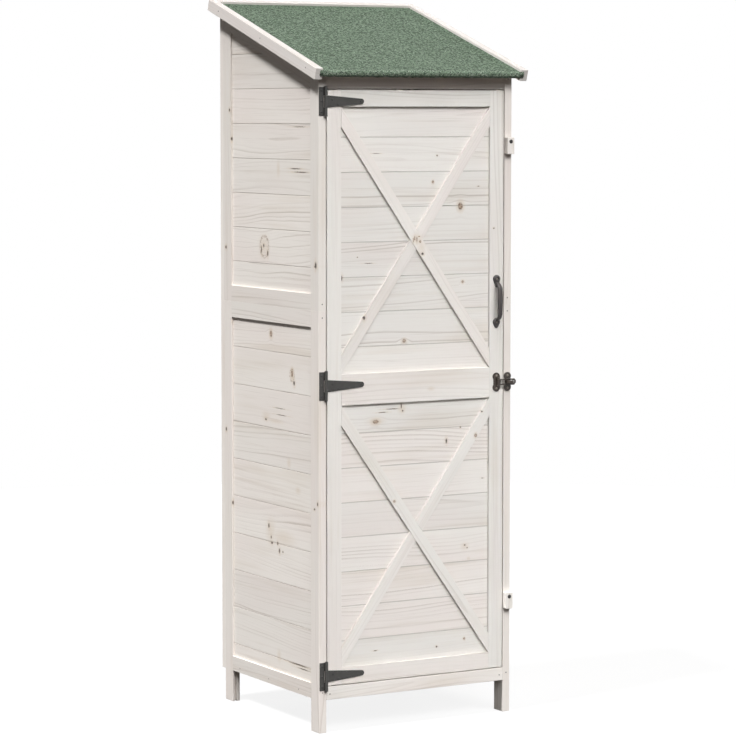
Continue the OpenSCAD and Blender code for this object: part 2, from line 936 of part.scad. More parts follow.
module door_handle() {
    seat_r = screw_head_r + 0.4;
    color(bronze) translate([handle_x, face_y, handle_z]) difference() {
        union() {
            grip();
            foot(upper_foot, drop_l, drop_tip_r);
            foot(lower_foot, egg_l, egg_tip_r);
        }
        for (v = [lower_foot, upper_foot]) translate([0, 0, v]) rotate([90, 0, 0]) {
            translate([0, 0, foot_seat]) cylinder(h = foot_h, r = seat_r);
            translate([0, 0, -cut]) cylinder(h = foot_h, r = screw_r + screw_fit);
        }
    }
}

// Turn buttons: wooden blocks on a screw each. They hang clear of the door,
// and a quarter turn lays them across it.
module turn_button(z) {
    w = button_w / 2;
    e = button_edge;
    color(wood) difference() {
        translate([post_x, face_y - touch, z]) rotate([90, 0, 0])
            linear_extrude(button_t) polygon([
                [-w, button_end - e], [-w + e, button_end], [w - e, button_end], [w, button_end - e],
                [w, e - button_tail], [w - e, -button_tail], [e - w, -button_tail], [-w, e - button_tail]
            ]);
        translate([post_x, face_y, z]) rotate([90, 0, 0])
            cylinder(h = touch + button_t + cut, r = button_screw_r + run_fit);
    }
}

module turn_button_upper() {
    turn_button(button_zs[0]);
}

module turn_button_lower() {
    turn_button(button_zs[1]);
}

module button_screws() {
    color(black) for (z = button_zs) translate([post_x, button_front - touch, z]) rotate([90, 0, 0]) {
        length = button_screw_in + 2 * touch + button_t;
        translate([0, 0, -length]) cylinder(h = length, r = button_screw_r);
        cylinder(h = button_head_t, r1 = button_head_r, r2 = button_head_r * 0.7);
    }
}

// Hasp: a plate on the door carries the link on an upright pin, and a plate on
// the post carries the turn knob, which reaches through the link's slot
module dog_bone(x) {
    waist = hasp_w * 0.76;
    difference() {
        translate([x, face_y, mid_z]) rotate([90, 0, 0]) linear_extrude(hasp_t) union() {
            square([waist, hasp_h - 2 * lobe_r], center = true);
            for (k = [-1, 1]) translate([0, k * (hasp_h / 2 - lobe_r)]) circle(lobe_r);
        }
        for (k = [-1, 1]) plate_hole(x, mid_z + k * hasp_screw_z);
    }
}

module hasp_plate() {
    color(black) difference() {
        union() {
            dog_bone(plate_x);
            for (k = [0, 1]) translate([link_x, link_y, mid_z]) mirror([0, 0, k])
                translate([0, 0, ear_z]) {
                    cylinder(h = ear_t, r = link_knuckle_r);
                    box([-link_knuckle_r, 0, 0], [link_knuckle_r, face_y - cut - link_y, ear_t]);
                }
        }
        translate([link_x, link_y, mid_z - hasp_h / 2]) cylinder(h = hasp_h, r = link_pin_r + snug);
    }
}

module hasp_pin() {
    half = ear_z + ear_t;
    color(black) translate([link_x, link_y, mid_z]) {
        translate([0, 0, -half]) cylinder(h = 2 * half, r = link_pin_r);
        for (k = [0, 1]) mirror([0, 0, k])
            translate([0, 0, half]) cylinder(h = 0.8, r1 = link_pin_r + 0.8, r2 = link_pin_r);
    }
}

module link_block() {
    h = block_half;
    translate([0, block_back, mid_z]) rotate([90, 0, 0]) linear_extrude(block_back - block_front)
        polygon([
            [block_x, -h], [block_end - block_slant, -h], [block_end, -block_tip],
            [block_end, block_tip], [block_end - block_slant, h], [block_x, h]
        ]);
}

module hasp_link() {
    color(black) difference() {
        union() {
            translate([link_x, link_y, mid_z - link_half]) cylinder(h = 2 * link_half, r = link_knuckle_r);
            box([link_x, link_y - link_t / 2, mid_z - link_half],
                [block_x + cut, link_y + link_t / 2, mid_z + link_half]);
            link_block();
        }
        box([slot_start, block_front - cut, mid_z - slot_w / 2],
            [slot_end, block_back + cut, mid_z + slot_w / 2]);
        translate([link_x, link_y, mid_z - hasp_h / 2]) cylinder(h = hasp_h, r = link_pin_r + run_fit);
    }
}

module on_stem(from, to, r) {
    translate([post_x, from, mid_z]) rotate([90, 0, 0]) cylinder(h = from - to, r = r);
}

module keeper_plate() {
    color(black) difference() {
        dog_bone(post_x);
        on_stem(face_y + cut, face_y - hasp_t - cut, stem_r + run_fit);
    }
}

// Hollow in the post for the flange behind the keeper plate
module knob_pocket() {
    on_stem(face_y + pocket_d, face_y - cut, pocket_r);
}

module hasp_knob() {
    w = wing_l / 2;
    e = wing_edge;
    color(black) union() {
        on_stem(face_y + touch + flange_t, face_y + touch, flange_r);
        on_stem(face_y + touch + flange_t, wing_face - cut, stem_r);
        translate([post_x, wing_face, mid_z - wing_t / 2])
            linear_extrude(wing_t) polygon([
                [-w, 0], [-w, e - wing_d], [e - w, -wing_d], [w - e, -wing_d], [w, e - wing_d], [w, 0]
            ]);
    }
}

left_leg_front();
left_leg_rear();
left_lower_rails();
left_lower_boards();
left_upper_stiles();
left_upper_rails();
left_upper_boards();
right_leg_front();
right_leg_rear();
right_lower_rails();
right_lower_boards();
right_upper_stiles();
right_upper_rails();
right_upper_boards();
front_sill();
front_header();
back_stiles();
back_rails();
back_boards();
floor_boards();
floor_cleats();
shelf_lower();
shelf_upper();
shelf_cleats();
door_stop();
roof_deck();
roof_felt();
barge_left();
barge_right();
roof_rear_strip();
nails();
hinge_leaf_top();
hinge_leaf_middle();
hinge_leaf_bottom();
hinge_pins();
post_screws();
button_screws();
keeper_plate();
door_stile_hinge();
door_stile_latch();
door_rail_top();
door_rail_middle();
door_rail_bottom();
door_boards_upper();
door_boards_lower();
door_brace_upper();
door_brace_upper_halves();
door_brace_lower();
door_brace_lower_halves();
hinge_strap_top();
hinge_strap_middle();
hinge_strap_bottom();
door_screws();
door_handle();
hasp_plate();
hasp_pin();
hasp_link();
hasp_knob();
turn_button_upper();
turn_button_lower();
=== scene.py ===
"""Looks of a white-washed garden shed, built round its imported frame."""

import json
import math
import random

import bmesh
import bpy
from mathutils import Matrix, Vector, noise

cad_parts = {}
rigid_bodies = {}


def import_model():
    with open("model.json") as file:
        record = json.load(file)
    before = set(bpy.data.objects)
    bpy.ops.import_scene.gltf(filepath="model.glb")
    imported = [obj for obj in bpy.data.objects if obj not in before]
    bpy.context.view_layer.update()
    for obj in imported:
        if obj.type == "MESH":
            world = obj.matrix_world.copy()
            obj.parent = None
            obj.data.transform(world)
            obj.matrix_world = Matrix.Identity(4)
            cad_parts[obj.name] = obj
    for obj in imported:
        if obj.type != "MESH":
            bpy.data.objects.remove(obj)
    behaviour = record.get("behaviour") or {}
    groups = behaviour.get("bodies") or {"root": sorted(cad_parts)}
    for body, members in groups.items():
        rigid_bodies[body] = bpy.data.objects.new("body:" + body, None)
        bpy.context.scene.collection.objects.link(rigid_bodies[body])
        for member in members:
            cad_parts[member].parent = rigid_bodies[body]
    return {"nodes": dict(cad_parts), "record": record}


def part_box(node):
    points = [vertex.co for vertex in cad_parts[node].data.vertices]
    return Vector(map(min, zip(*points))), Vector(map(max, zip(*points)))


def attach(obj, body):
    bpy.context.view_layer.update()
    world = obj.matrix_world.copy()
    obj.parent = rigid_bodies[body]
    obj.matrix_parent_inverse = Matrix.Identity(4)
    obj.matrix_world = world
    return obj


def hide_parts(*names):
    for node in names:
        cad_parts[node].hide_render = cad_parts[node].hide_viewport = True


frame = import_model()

bl_info = {
    "name": "Garden shed",
    "version": (1, 0, 0),
    "blender": (4, 5, 0),
    "location": "3D View > Sidebar > Shed",
    "description": "Dresses the packed garden shed in timber, felt and metal",
    "category": "Object",
}

BODIES = frame["record"]["behaviour"]["bodies"]
BODY_OF = {node: body for body, nodes in BODIES.items() for node in nodes}
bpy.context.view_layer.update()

# Lengths are in metres. The roof falls towards the front at this angle, and its
# own level 0 is the foot of the barge boards' lower arris.
ROOF_FALL = math.radians(18)
FRONT_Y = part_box("left_leg_front")[0].y
ROOF_FOOT_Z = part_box("barge_left")[0].z
BARGE_DEPTH = 0.028
ROOF_FOOT_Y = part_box("barge_left")[0].y + BARGE_DEPTH * math.sin(ROOF_FALL)
UPHILL = Vector((0, math.cos(ROOF_FALL), math.sin(ROOF_FALL)))
ROOF_NORMAL = Vector((0, -math.sin(ROOF_FALL), math.cos(ROOF_FALL)))

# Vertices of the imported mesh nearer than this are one
WELD = 1e-5

# Knots and marks, listed in millimetres: place across, height, half width and
# half height. On the side wall the place is the depth, on the front it is the width.
# Dark ones are hard little knots, brown ones have a halo, pale ones show through the wash.
DOOR_KNOTS = {
    "dark": [
        (-110, 1397, 10, 0.7), (62, 1391, 2.2, 2), (181, 1315, 3, 0.9), (-162, 1148, 1.3, 1.2),
        (-206, 1099, 2.6, 6), (-132, 1133, 11, 0.8), (214, 955, 2, 2.4), (131, 722, 2, 1.8),
        (90, 690, 2.6, 6), (211, 630, 1.6, 8), (195, 592, 3.5, 0.8), (214, 564, 1.8, 2),
        (63, 181, 2.3, 2.1), (-207, 190, 2.2, 5), (-112, 187, 5, 1), (-39, 783, 1.6, 6),
        (-35, 771, 2.4, 2), (-92, 770, 12, 0.9), (-64, 777, 17, 1), (144, 428, 2.4, 1.6),
        (151, 421, 1.4, 1.3),
    ],
    "brown": [
        (129, 1267, 6.5, 9), (136, 1081, 3.4, 3.2), (-31, 942, 5, 4.2), (-111, 748, 8, 4.6),
        (143, 194, 2.6, 3), (50, 1327, 3, 3.6),
    ],
    "stain": [(144, 425, 11, 9), (-38, 776, 11, 12), (155, 394, 5, 4), (-111, 750, 24, 10)],
}
FRAME_KNOTS = {
    "dark": [(17, 1153, 3.4, 3), (-147, 1002, 3.2, 4.6), (189, 759, 2.2, 2), (222, 1211, 2, 1.8)],
    "brown": [
        (-62, 551, 3.2, 3), (171, 700, 3.4, 4.6), (-5, 1191, 1.8, 5), (1, 1188, 1.5, 6),
        (10, 1183, 2.6, 3), (-9, 1187, 1.2, 5), (7, 1195, 2.6, 1.2),
    ],
    "stain": [(2, 1188, 15, 16), (13, 1168, 11, 14), (42, 822, 10, 4.6)],
}
SIDE_KNOTS = {
    "dark": [
        (41, 1168, 3.4, 4.6), (53, 1158, 2.6, 9), (20, 1150, 3, 7), (-114, 839, 4, 6),
        (32, 738, 4.4, 2.6), (18, 474, 3.4, 5.5), (6, 447, 2.4, 4), (2, 433, 5, 3),
        (-28, 435, 3, 4.4), (-37, 418, 3.4, 6), (-55, 417, 2.4, 2.4), (-133, 149, 48, 1.3),
        (-162, 142, 30, 1.1), (-123, 1360, 25, 1.3), (-150, 1352, 34, 1.2),
        (-143, 1461, 30, 1), (-48, 755, 25, 0.8), (-40, 771, 24, 0.8),
    ],
    "brown": [(5, 952, 6.4, 8), (-104, 862, 5, 9)],
    "pale": [(38, 1166, 24, 27), (-104, 858, 12, 16)],
    "stain": [
        (30, 746, 20, 11), (-18, 738, 40, 5), (8, 462, 22, 30), (-58, 452, 52, 18),
        (-87, 641, 9, 12), (-133, 578, 12, 8), (-34, 155, 9, 15), (-36, 1359, 8, 18),
    ],
}
POST_KNOTS = {
    "dark": [
        (213, 1502, 3.4, 4), (204, 1430, 3, 5), (235, 1157, 4, 4.4), (202, 969, 3.2, 4.4),
        (-232, 1131, 4.4, 8), (237, 695, 3.4, 5), (204, 510, 3.2, 5), (-240, 557, 3, 4.4),
        (-225, 543, 3.4, 2.6), (-231, 1128, 6, 3),
    ],
}


def srgb(red, green, blue):
    """A colour given as 0 to 255 on a screen, in the linear values that shaders take."""
    parts = [value / 255 for value in (red, green, blue)]
    return tuple(p / 12.92 if p <= 0.04045 else ((p + 0.055) / 1.055) ** 2.4 for p in parts)


def opaque(colour):
    return (*colour[:3], 1.0)


def shade(colour, factor):
    """The same colour, lighter or darker."""
    return tuple(part * factor for part in colour[:3])


class Field:
    """A socket that takes part in a sum as a number does."""

    def __init__(self, bench, socket):
        self.bench = bench
        self.socket = socket

    def sum_of(operation, turned=False):
        def work(self, other):
            pair = (other, self) if turned else (self, other)
            return self.bench.maths(operation, *pair)

        return work

    __add__, __radd__ = sum_of("ADD"), sum_of("ADD", True)
    __sub__, __rsub__ = sum_of("SUBTRACT"), sum_of("SUBTRACT", True)
    __mul__, __rmul__ = sum_of("MULTIPLY"), sum_of("MULTIPLY", True)
    __truediv__ = sum_of("DIVIDE")


class Bench:
    """A node tree with the few tools that the finishes and the fasteners are made with."""

    def __init__(self, tree):
        self.tree = tree

    def node(self, kind, sockets=None, out=0, **settings):
        item = self.tree.nodes.new(kind)
        for key, value in settings.items():
            setattr(item, key, value)
        for key, value in (sockets or {}).items():
            if isinstance(value, Field):
                self.tree.links.new(value.socket, item.inputs[key])
            else:
                item.inputs[key].default_value = value
        return Field(self, item.outputs[out])

    def maths(self, operation, *values):
        return self.node("ShaderNodeMath", dict(enumerate(values)), operation=operation)

    def vector(self, operation, *values, out=0):
        return self.node("ShaderNodeVectorMath", dict(enumerate(values)), out, operation=operation)

    def least(self, first, second):
        return self.maths("MINIMUM", first, second)

    def length(self, vector):
        return self.vector("LENGTH", vector, out="Value")

    def stored(self, name, out="Vector"):
        return self.node("ShaderNodeAttribute", out=out, attribute_name=name)

    def place(self):
        return self.node("ShaderNodeTexCoord", out="Object")

    def split(self, vector):
        parts = self.node("ShaderNodeSeparateXYZ", {0: vector}).socket.node.outputs
        return [Field(self, part) for part in parts]

    def join(self, x, y, z):
        return self.node("ShaderNodeCombineXYZ", {0: x, 1: y, 2: z})

    def draw(self, number):
        """A value by chance, from 0 to 1, that stays the same for the same number."""
        return self.node("ShaderNodeTexWhiteNoise", {"W": number}, "Value", noise_dimensions="1D")

    def ease(self, value, low, high, start=0.0, end=1.0):
        """Goes softly from start to end while value goes from low to high."""
        sockets = {0: value, 1: low, 2: high, 3: start, 4: end}
        return self.node("ShaderNodeMapRange", sockets, interpolation_type="SMOOTHSTEP")

    def fade(self, value, low, high):
        """1 below low, softly down to 0 at high."""
        return self.ease(value, low, high, 1.0, 0.0)

    def noise(self, vector, scale=1.0, detail=2.0, roughness=0.5, out="Fac"):
        sockets = {"Vector": vector, "Scale": scale, "Detail": detail, "Roughness": roughness}
        return self.node("ShaderNodeTexNoise", sockets, out)

    def stretched(self, vector, scales, **options):
        return self.noise(self.vector("MULTIPLY", vector, scales), **options)

    def cells(self, vector, scale, out, dimensions="3D"):
        sockets = {"Vector": vector, "Scale": scale}
        return self.node("ShaderNodeTexVoronoi", sockets, out, voronoi_dimensions=dimensions)

    def blend(self, factor, first, second, kind="MIX"):
        """Two colours in one: the first at factor 0 and the second at 1."""
        pair = [value if isinstance(value, Field) else opaque(value) for value in (first, second)]
        sockets = {0: factor, 6: pair[0], 7: pair[1]}
        return self.node("ShaderNodeMix", sockets, 2, data_type="RGBA", blend_type=kind)

    def layered(self, colour, layers):
        """A colour under layers, each given by how much it covers and its own colour."""
        for cover, tone in layers:
            colour = self.blend(cover, colour, tone)
        return colour

    def bump(self, height, depth, strength=1.0):
        sockets = {"Height": height, "Distance": depth, "Strength": strength}
        return self.node("ShaderNodeBump", sockets)


def finish(name, surface, **constants):
    """A material whose varying sockets come from surface(bench) and whose others are constants."""
    material = bpy.data.materials.new(name)
    material.use_nodes = True
    tree = material.node_tree
    shader = tree.nodes["Principled BSDF"]
    for key, value in constants.items():
        shader.inputs[key.replace("_", " ")].default_value = value
    for key, field in surface(Bench(tree)).items():
        tree.links.new(field.socket, shader.inputs[key])
    return material


# Where no knot is near, in half widths of a knot
FAR_OFF = 9.0


def nearest_knot(bench, place, spots, facing):
    """How far a point is from the nearest listed knot: 0 in its middle, 1 at its rim."""
    far = FAR_OFF
    for spot in spots:
        across, height, half_across, half_height = [value / 1000 for value in spot]
        if facing == "front":
            centre, scale = (across, 0, height), (1 / half_across, 0, 1 / half_height)
        else:
            centre, scale = (0, across, height), (0, 1 / half_across, 1 / half_height)
        shift = tuple(-c * s for c, s in zip(centre, scale))
        gap = bench.length(bench.vector("MULTIPLY_ADD", place, scale, shift))
        far = bench.least(far, gap)
    return far


def scattered_knot(bench, along, across, chance):
    """The same distance from knots that fall by chance: a stretch of a board, about 170 mm by
    90 mm, has one at most, of 4 to 12 mm."""
    where = bench.join(along * 6.0, across * 11.0, 0.0)
    distance = bench.cells(where, 1.0, "Distance", "2D")
    draw, size, _ = bench.split(bench.cells(where, 1.0, "Color", "2D"))
    absent = bench.ease(draw, chance, chance + 0.01) * FAR_OFF
    return distance / (0.025 + 0.05 * size) + absent


WASH_TONES = {
    "thin": srgb(211, 201, 188),
    "pink": srgb(224, 213, 208),
    "line": srgb(166, 153, 142),
    "tan": srgb(201, 183, 160),
    "brown": srgb(142, 116, 96),
    "core": srgb(62, 51, 44),
    "seam": srgb(118, 106, 95),
}


def white_wash(name, base, facing="front", knots=None, chance=0.0, line=1.0, gap=0.0, joint=0.0):
    """Softwood under a thin white wash, with its rings, fibres and knots showing through, and
    with the grey of the joint along the sides of a tongued board. Line says how bold its grain
    is, joint how dark its joints are, and gap sets rings of its own."""
    knots = knots or {}
    gap = gap or sizes().ring_gap

    def surface(bench):
        grain = bench.stored("grain")
        board = bench.stored("board", "Fac")
        along, across, through = bench.split(grain)
        # The knots' rims waver by a millimetre
        waver = bench.vector("SUBTRACT", bench.noise(grain, 260.0, out="Color"), (0.5,) * 3)
        place = bench.vector("MULTIPLY_ADD", waver, (0.0022,) * 3, bench.place())

        dark, brown, pale, stain = [
            nearest_knot(bench, place, knots.get(kind, ()), facing)
            for kind in ("dark", "brown", "pale", "stain")
        ]
        if chance:
            brown = bench.least(brown, scattered_knot(bench, along, across, chance))
        swell = bench.fade(bench.least(brown, pale), 0.0, 5.0)

        # Growth rings round a heart that wanders, each as bold as its number's draw
        wander = bench.stretched(grain, (1.1, 5.0, 5.0), detail=1.0)
        sway = bench.stretched(grain, (6.0, 24.0, 24.0))
        drift = (wander - 0.5) * 0.10 + (sway - 0.5) * 0.006
        side = across + (board - 0.5) * 0.12 + drift
        depth = through + 0.012 + (wander - 0.5) * 0.06
        rings = bench.length(bench.join(side, depth, 0.0)) / gap + swell * 0.9
        turn = bench.maths("FRACT", rings)
        number = bench.maths("FLOOR", rings) + board * 61.0
        weight = bench.ease(bench.draw(number), 0.30, 1.0, 0.05, 1.0)
        late = bench.ease(turn, 0.45, 0.92) * bench.fade(turn, 0.93, 1.0) * weight

        streak = bench.stretched(grain, (1.8, 70.0, 70.0), detail=3.0, roughness=0.6)
        hair = bench.stretched(grain, (5.0, 420.0, 420.0))
        fibre = bench.stretched(grain, (22.0, 1100.0, 1100.0))
        patch = bench.stretched(grain, (2.2, 8.0, 8.0))
        blush = bench.stretched(grain, (1.5, 5.0, 7.0), detail=1.0)
        strip = bench.stretched(grain, (0.9, 16.0, 16.0))
        flecks = bench.stretched(grain, (150.0, 300.0, 300.0), detail=3.0)
        flecks = bench.ease(flecks, 0.44, 0.60)
        thin = bench.ease(patch + (streak - 0.5) * 0.6, 0.50, 0.80)
        pink = bench.ease(blush + board * 0.2, 0.50, 0.78)
        bold = bench.ease(strip, 0.40, 0.66, 0.10, 1.0)

        tones = WASH_TONES
        colour = bench.layered(base, [
            (pink * 0.42, tones["pink"]),
            (thin * 0.42, tones["thin"]),
            (late * bold * (0.62 * line), tones["line"]),
            (bench.ease(streak, 0.56, 0.80) * (0.20 * line), tones["line"]),
            (bench.ease(hair, 0.60, 0.78) * (0.28 * line), tones["line"]),
            (bench.ease(fibre, 0.5, 0.8) * 0.07, tones["thin"]),
        ])
        # Each piece's own tone; a number given below 0 darkens a piece as painted shade
        level = 0.925 + board * 0.08
        colour = bench.blend(1.0, colour, bench.join(level, level, level), "MULTIPLY")

        halo = bench.fade(pale, 0.2, 1.7) * (0.26 + 0.16 * flecks)
        ring = bench.ease(pale, 0.72, 0.94) * bench.fade(pale, 0.96, 1.16)
        body = bench.fade(brown, 0.65, 1.25)
        heart = bench.fade(dark, 0.45, 1.40)
        colour = bench.layered(colour, [
            (halo + bench.fade(stain, 0.0, 1.7) * 0.34, tones["tan"]),
            (ring * (0.08 + 0.70 * flecks), tones["brown"]),
            (bench.fade(brown, 0.7, 2.6) * 0.50, tones["tan"]),
            (body * (0.55 + 0.40 * flecks), tones["brown"]),
            (body * bench.ease(brown, 0.40, 0.85) * (0.15 + 0.6 * flecks), tones["core"]),
            (bench.fade(dark, 0.8, 3.2) * (0.20 + 0.35 * flecks), tones["tan"]),
            (heart * 0.94, tones["core"]),
        ])
        if joint:
            low, high, _ = bench.split(bench.stored("sides"))
            seam = bench.fade(bench.least(across - low, high - across), 0.0004, 0.0016)
            colour = bench.blend(seam * joint, colour, tones["seam"])

        sunk = body + heart
        height = late * -0.5 + (fibre - 0.5) * 0.45 + streak * 0.4 - sunk * 0.8
        return {
            "Base Color": colour,
            "Roughness": 0.56 + thin * 0.08 + (fibre - 0.5) * 0.10 - sunk * 0.10,
            "Normal": bench.bump(height, 0.0003, 0.7),
        }

    return finish(name, surface, Specular_IOR_Level=0.22)


def mineral_felt(name, base, grit):
    """Bitumen felt strewn with mineral granules. The stored value mineral is 0 on its bare
    underside and grows to 2 along the front edge, where the paler granules gather."""
    pale = tuple(part * 1.9 + 0.04 for part in base)
    tufts_per_metre = 370.0

    def surface(bench):
        place = bench.place()
        mineral = bench.stored("mineral", "Fac")
        draw, second, _ = bench.split(bench.cells(place, 1 / grit, "Color"))
        dome = bench.cells(place, 1 / grit, "Distance")
        mottle = bench.noise(place, 165.0, 3.0, 0.6)
        cloud = bench.noise(place, 14.0)
        edge = bench.ease(mineral, 1.0, 1.4)
        core = bench.fade(bench.cells(place, tufts_per_metre, "Distance"), 0.25, 0.60)
        light, heavy, _ = bench.split(bench.cells(place, tufts_per_metre, "Color"))
        bare = bench.fade(mineral, 0.2, 0.8)
        colour = bench.layered(shade(base, 0.46), [
            (bench.ease(draw, 0.10, 0.95), shade(base, 1.3)),
            (bench.ease(mottle, 0.45, 0.62) * 0.70, pale),
            (bench.ease(mottle, 0.49, 0.36) * 0.85, shade(base, 0.30)),
            (core * bench.ease(light + edge * 0.2, 0.76, 0.92) * 0.9, pale),
            (core * bench.ease(heavy, 0.74, 0.90) * 0.8, shade(base, 0.28)),
            (bench.ease(cloud, 0.35, 0.7) * 0.16, shade(base, 0.75)),
            (bench.ease(second + edge * 0.16, 0.94, 0.99) * 0.7, srgb(190, 202, 186)),
            # Painted shade: the lower part of the turned down edge and of the flaps is darkened
            (bench.ease(mineral, 1.45, 1.80) * 0.85, srgb(30, 36, 28)),
            (bare, srgb(38, 40, 38)),
        ])
        return {
            "Base Color": colour,
            "Roughness": 0.90 + bare * -0.25,
            "Normal": bench.bump((0.6 - dome) + mottle * 0.6, 0.0011, 0.9),
        }

    return finish(name, surface, Specular_IOR_Level=0.25)


def coated_metal(name, base, tint, roughness=0.44, grain=420.0, depth=0.00006, metallic=0.0):
    """Dark coated metal: a fine orange peel, faint clouds and a little rubbing."""

    def surface(bench):
        place = bench.place()
        cloud = bench.noise(place, 55.0, 3.0)
        peel = bench.noise(place, grain, 3.0, 0.55)
        rub = bench.ease(bench.noise(place, 160.0, 4.0, 0.65), 0.54, 0.74)
        layers = [(bench.ease(cloud, 0.3, 0.7), tint), (rub * 0.22, shade(tint, 1.9))]
        return {
            "Base Color": bench.layered(base, layers),
            "Roughness": roughness + (cloud - 0.5) * 0.16 - rub * 0.05,
            "Normal": bench.bump(peel + rub * 0.3, depth, 0.9),
        }

    return finish(name, surface, Metallic=metallic)


# Meshes
def in_scene(name, data):
    """A new object of this mesh, lamp or camera, in the scene."""
    obj = bpy.data.objects.new(name, data)
    bpy.context.scene.collection.objects.link(obj)
    return obj


def piece_from(name, mesh, material, node, smooth=False):
    """Puts a finished mesh in the scene in place of a CAD node, on its body, with the given
    material.
    """
    mesh.materials.clear()
    mesh.materials.append(material)
    mesh.polygons.foreach_set("use_smooth", [smooth] * len(mesh.polygons))
    mesh.polygons.foreach_set("material_index", [0] * len(mesh.polygons))
    obj = in_scene(name, mesh)
    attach(obj, BODY_OF[node])
    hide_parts(node)


def mesh_of(bm, name):
    """Ends a bmesh as a mesh."""
    mesh = bpy.data.meshes.new(name)
    bm.to_mesh(mesh)
    bm.free()
    return mesh


def welded(node):
    """A bmesh of a CAD node with its doubles merged and its flat faces made whole."""
    bm = bmesh.new()
    bm.from_mesh(frame["nodes"][node].data)
    bmesh.ops.remove_doubles(bm, verts=bm.verts, dist=WELD)
    bmesh.ops.dissolve_limit(bm, angle_limit=math.radians(1), verts=bm.verts, edges=bm.edges)
    return bm


def loose_parts(bm):
    """The vertices of each separate solid, in the mesh's own order."""
    seen, parts = set(), []
    for start in bm.verts:
        if start in seen:
            continue
        seen.add(start)
        part, waiting = [], [start]
        while waiting:
            vert = waiting.pop()
            part.append(vert)
            for edge in vert.link_edges:
                other = edge.other_vert(vert)
                if other not in seen:
                    seen.add(other)
                    waiting.append(other)
        parts.append(part)
    return parts


def ease_arrises(bm, size, sharp):
    """Rounds the corners of a bmesh that turn outwards by more than sharp degrees."""
    edges = [
        edge
        for edge in bm.edges
        if len(edge.link_faces) == 2
        and edge.is_convex
        and edge.calc_face_angle() > math.radians(sharp)
        and edge.calc_length() > 2.5 * size
    ]
    bmesh.ops.bevel(
        bm, geom=edges, offset=size, segments=2, profile=0.5, affect="EDGES", clamp_overlap=True
    )


def span(verts, direction):
    """Lowest and highest place of the vertices along a direction."""
    places = [vert.co.dot(direction) for vert in verts]
    return min(places), max(places)


def longest_edge(verts):
    """The direction of a solid's longest edge, which is how its timber runs."""
    best = max((edge for vert in verts for edge in vert.link_edges), key=lambda e: e.calc_length())
    return (best.verts[1].co - best.verts[0].co).normalized()


AXES = [Vector((1, 0, 0)), Vector((0, 1, 0)), Vector((0, 0, 1))]


def timber(node, material, along=None, arris=0.0, number=None):
    """A timber node. Its arrises are eased, save those of tongued boards, which lie along a given
    axis. Each solid stores where its grain runs: the place along it, across its face and through
    its thickness, the sides of its face, and a number of its own."""
    bm = welded(node)
    if not along:
        ease_arrises(bm, arris or sizes().arris, 50.0)
    grain = bm.verts.layers.float_vector.new("grain")
    sides = bm.verts.layers.float_vector.new("sides")
    board = bm.verts.layers.float.new("board")
    draw = random.Random(f"{node}0")
    for verts in loose_parts(bm):
        run = along or longest_edge(verts)
        square = min(AXES, key=lambda axis: abs(axis.dot(run)))
        first = (square - run * square.dot(run)).normalized()
        second = run.cross(first)
        spans = {}
        for direction in (first, second):
            low, high = span(verts, direction)
            spans[high - low] = direction
        through, across = spans[min(spans)], spans[max(spans)]
        middle = [sum(span(verts, direction)) / 2 for direction in (across, through)]
        faces = [face for vert in verts for face in vert.link_faces]
        low, high = span(max(faces, key=lambda face: face.calc_area()).verts, across)
        start, own = draw.uniform(0, 40), draw.random()
        if number is not None:
            own = number
        for vert in verts:
            vert[grain] = (
                vert.co.dot(run) + start,
                vert.co.dot(across) - middle[0],
                vert.co.dot(through) - middle[1],
            )
            vert[sides] = (low - middle[0], high - middle[0], 0)
            vert[board] = own
    piece_from(f"{node}_wood", mesh_of(bm, f"{node}_wood"), material, node)


def plate(node, material, arris):
    """A metal node with eased edges and rounds that shade as rounds."""
    bm = welded(node)
    ease_arrises(bm, arris, 40.0)
    mesh = mesh_of(bm, f"{node}_metal")
    piece_from(f"{node}_metal", mesh, material, node, smooth=True)
    mesh.set_sharp_from_angle(angle=math.radians(24))


def on_roof(x, up, out):
    """A point given by its place across the roof, up the slope and out from the roof's level 0."""
    return Vector((x, ROOF_FOOT_Y, ROOF_FOOT_Z)) + UPHILL * up + ROOF_NORMAL * out


def grid_faces(rows, columns, closed=False):
    """Faces between rows of vertices, with the last column joined to the first when closed."""
    faces = []
    for row in range(rows - 1):
        for column in range(columns if closed else columns - 1):
            right = (column + 1) % columns
            here, there = row * columns, (row + 1) * columns
            faces.append((here + column, here + right, there + right, there + column))
    return faces


def facing_out(mesh):
    """Turns a closed mesh's faces outwards."""
    bm = bmesh.new()
    bm.from_mesh(mesh)
    bmesh.ops.remove_doubles(bm, verts=bm.verts, dist=1e-7)
    bmesh.ops.recalc_face_normals(bm, faces=bm.faces)
    bm.to_mesh(mesh)
    bm.free()


# The fasteners' trees
def new_tree(name, numbers):
    """A tree with a geometry socket at each end and these numbers as named inputs, with a bench
    for it and its inputs by name."""
    tree = bpy.data.node_groups.new(name, "GeometryNodeTree")
    tree.interface.new_socket("Geometry", in_out="INPUT", socket_type="NodeSocketGeometry")
    for number in numbers:
        kind = "NodeSocketInt" if number == "Seed" else "NodeSocketFloat"
        tree.interface.new_socket(number, in_out="INPUT", socket_type=kind)
    tree.interface.new_socket("Geometry", in_out="OUTPUT", socket_type="NodeSocketGeometry")
    bench = Bench(tree)
    given = tree.nodes.new("NodeGroupInput").outputs
    return tree, bench, {socket.name: Field(bench, socket) for socket in given if socket.name}


def end_tree(bench, instances, material):
    whole = bench.node("GeometryNodeRealizeInstances", {"Geometry": instances})
    dressed = bench.node("GeometryNodeSetMaterial", {"Geometry": whole, "Material": material})
    output = bench.tree.nodes.new("NodeGroupOutput")
    bench.tree.links.new(dressed.socket, output.inputs["Geometry"])


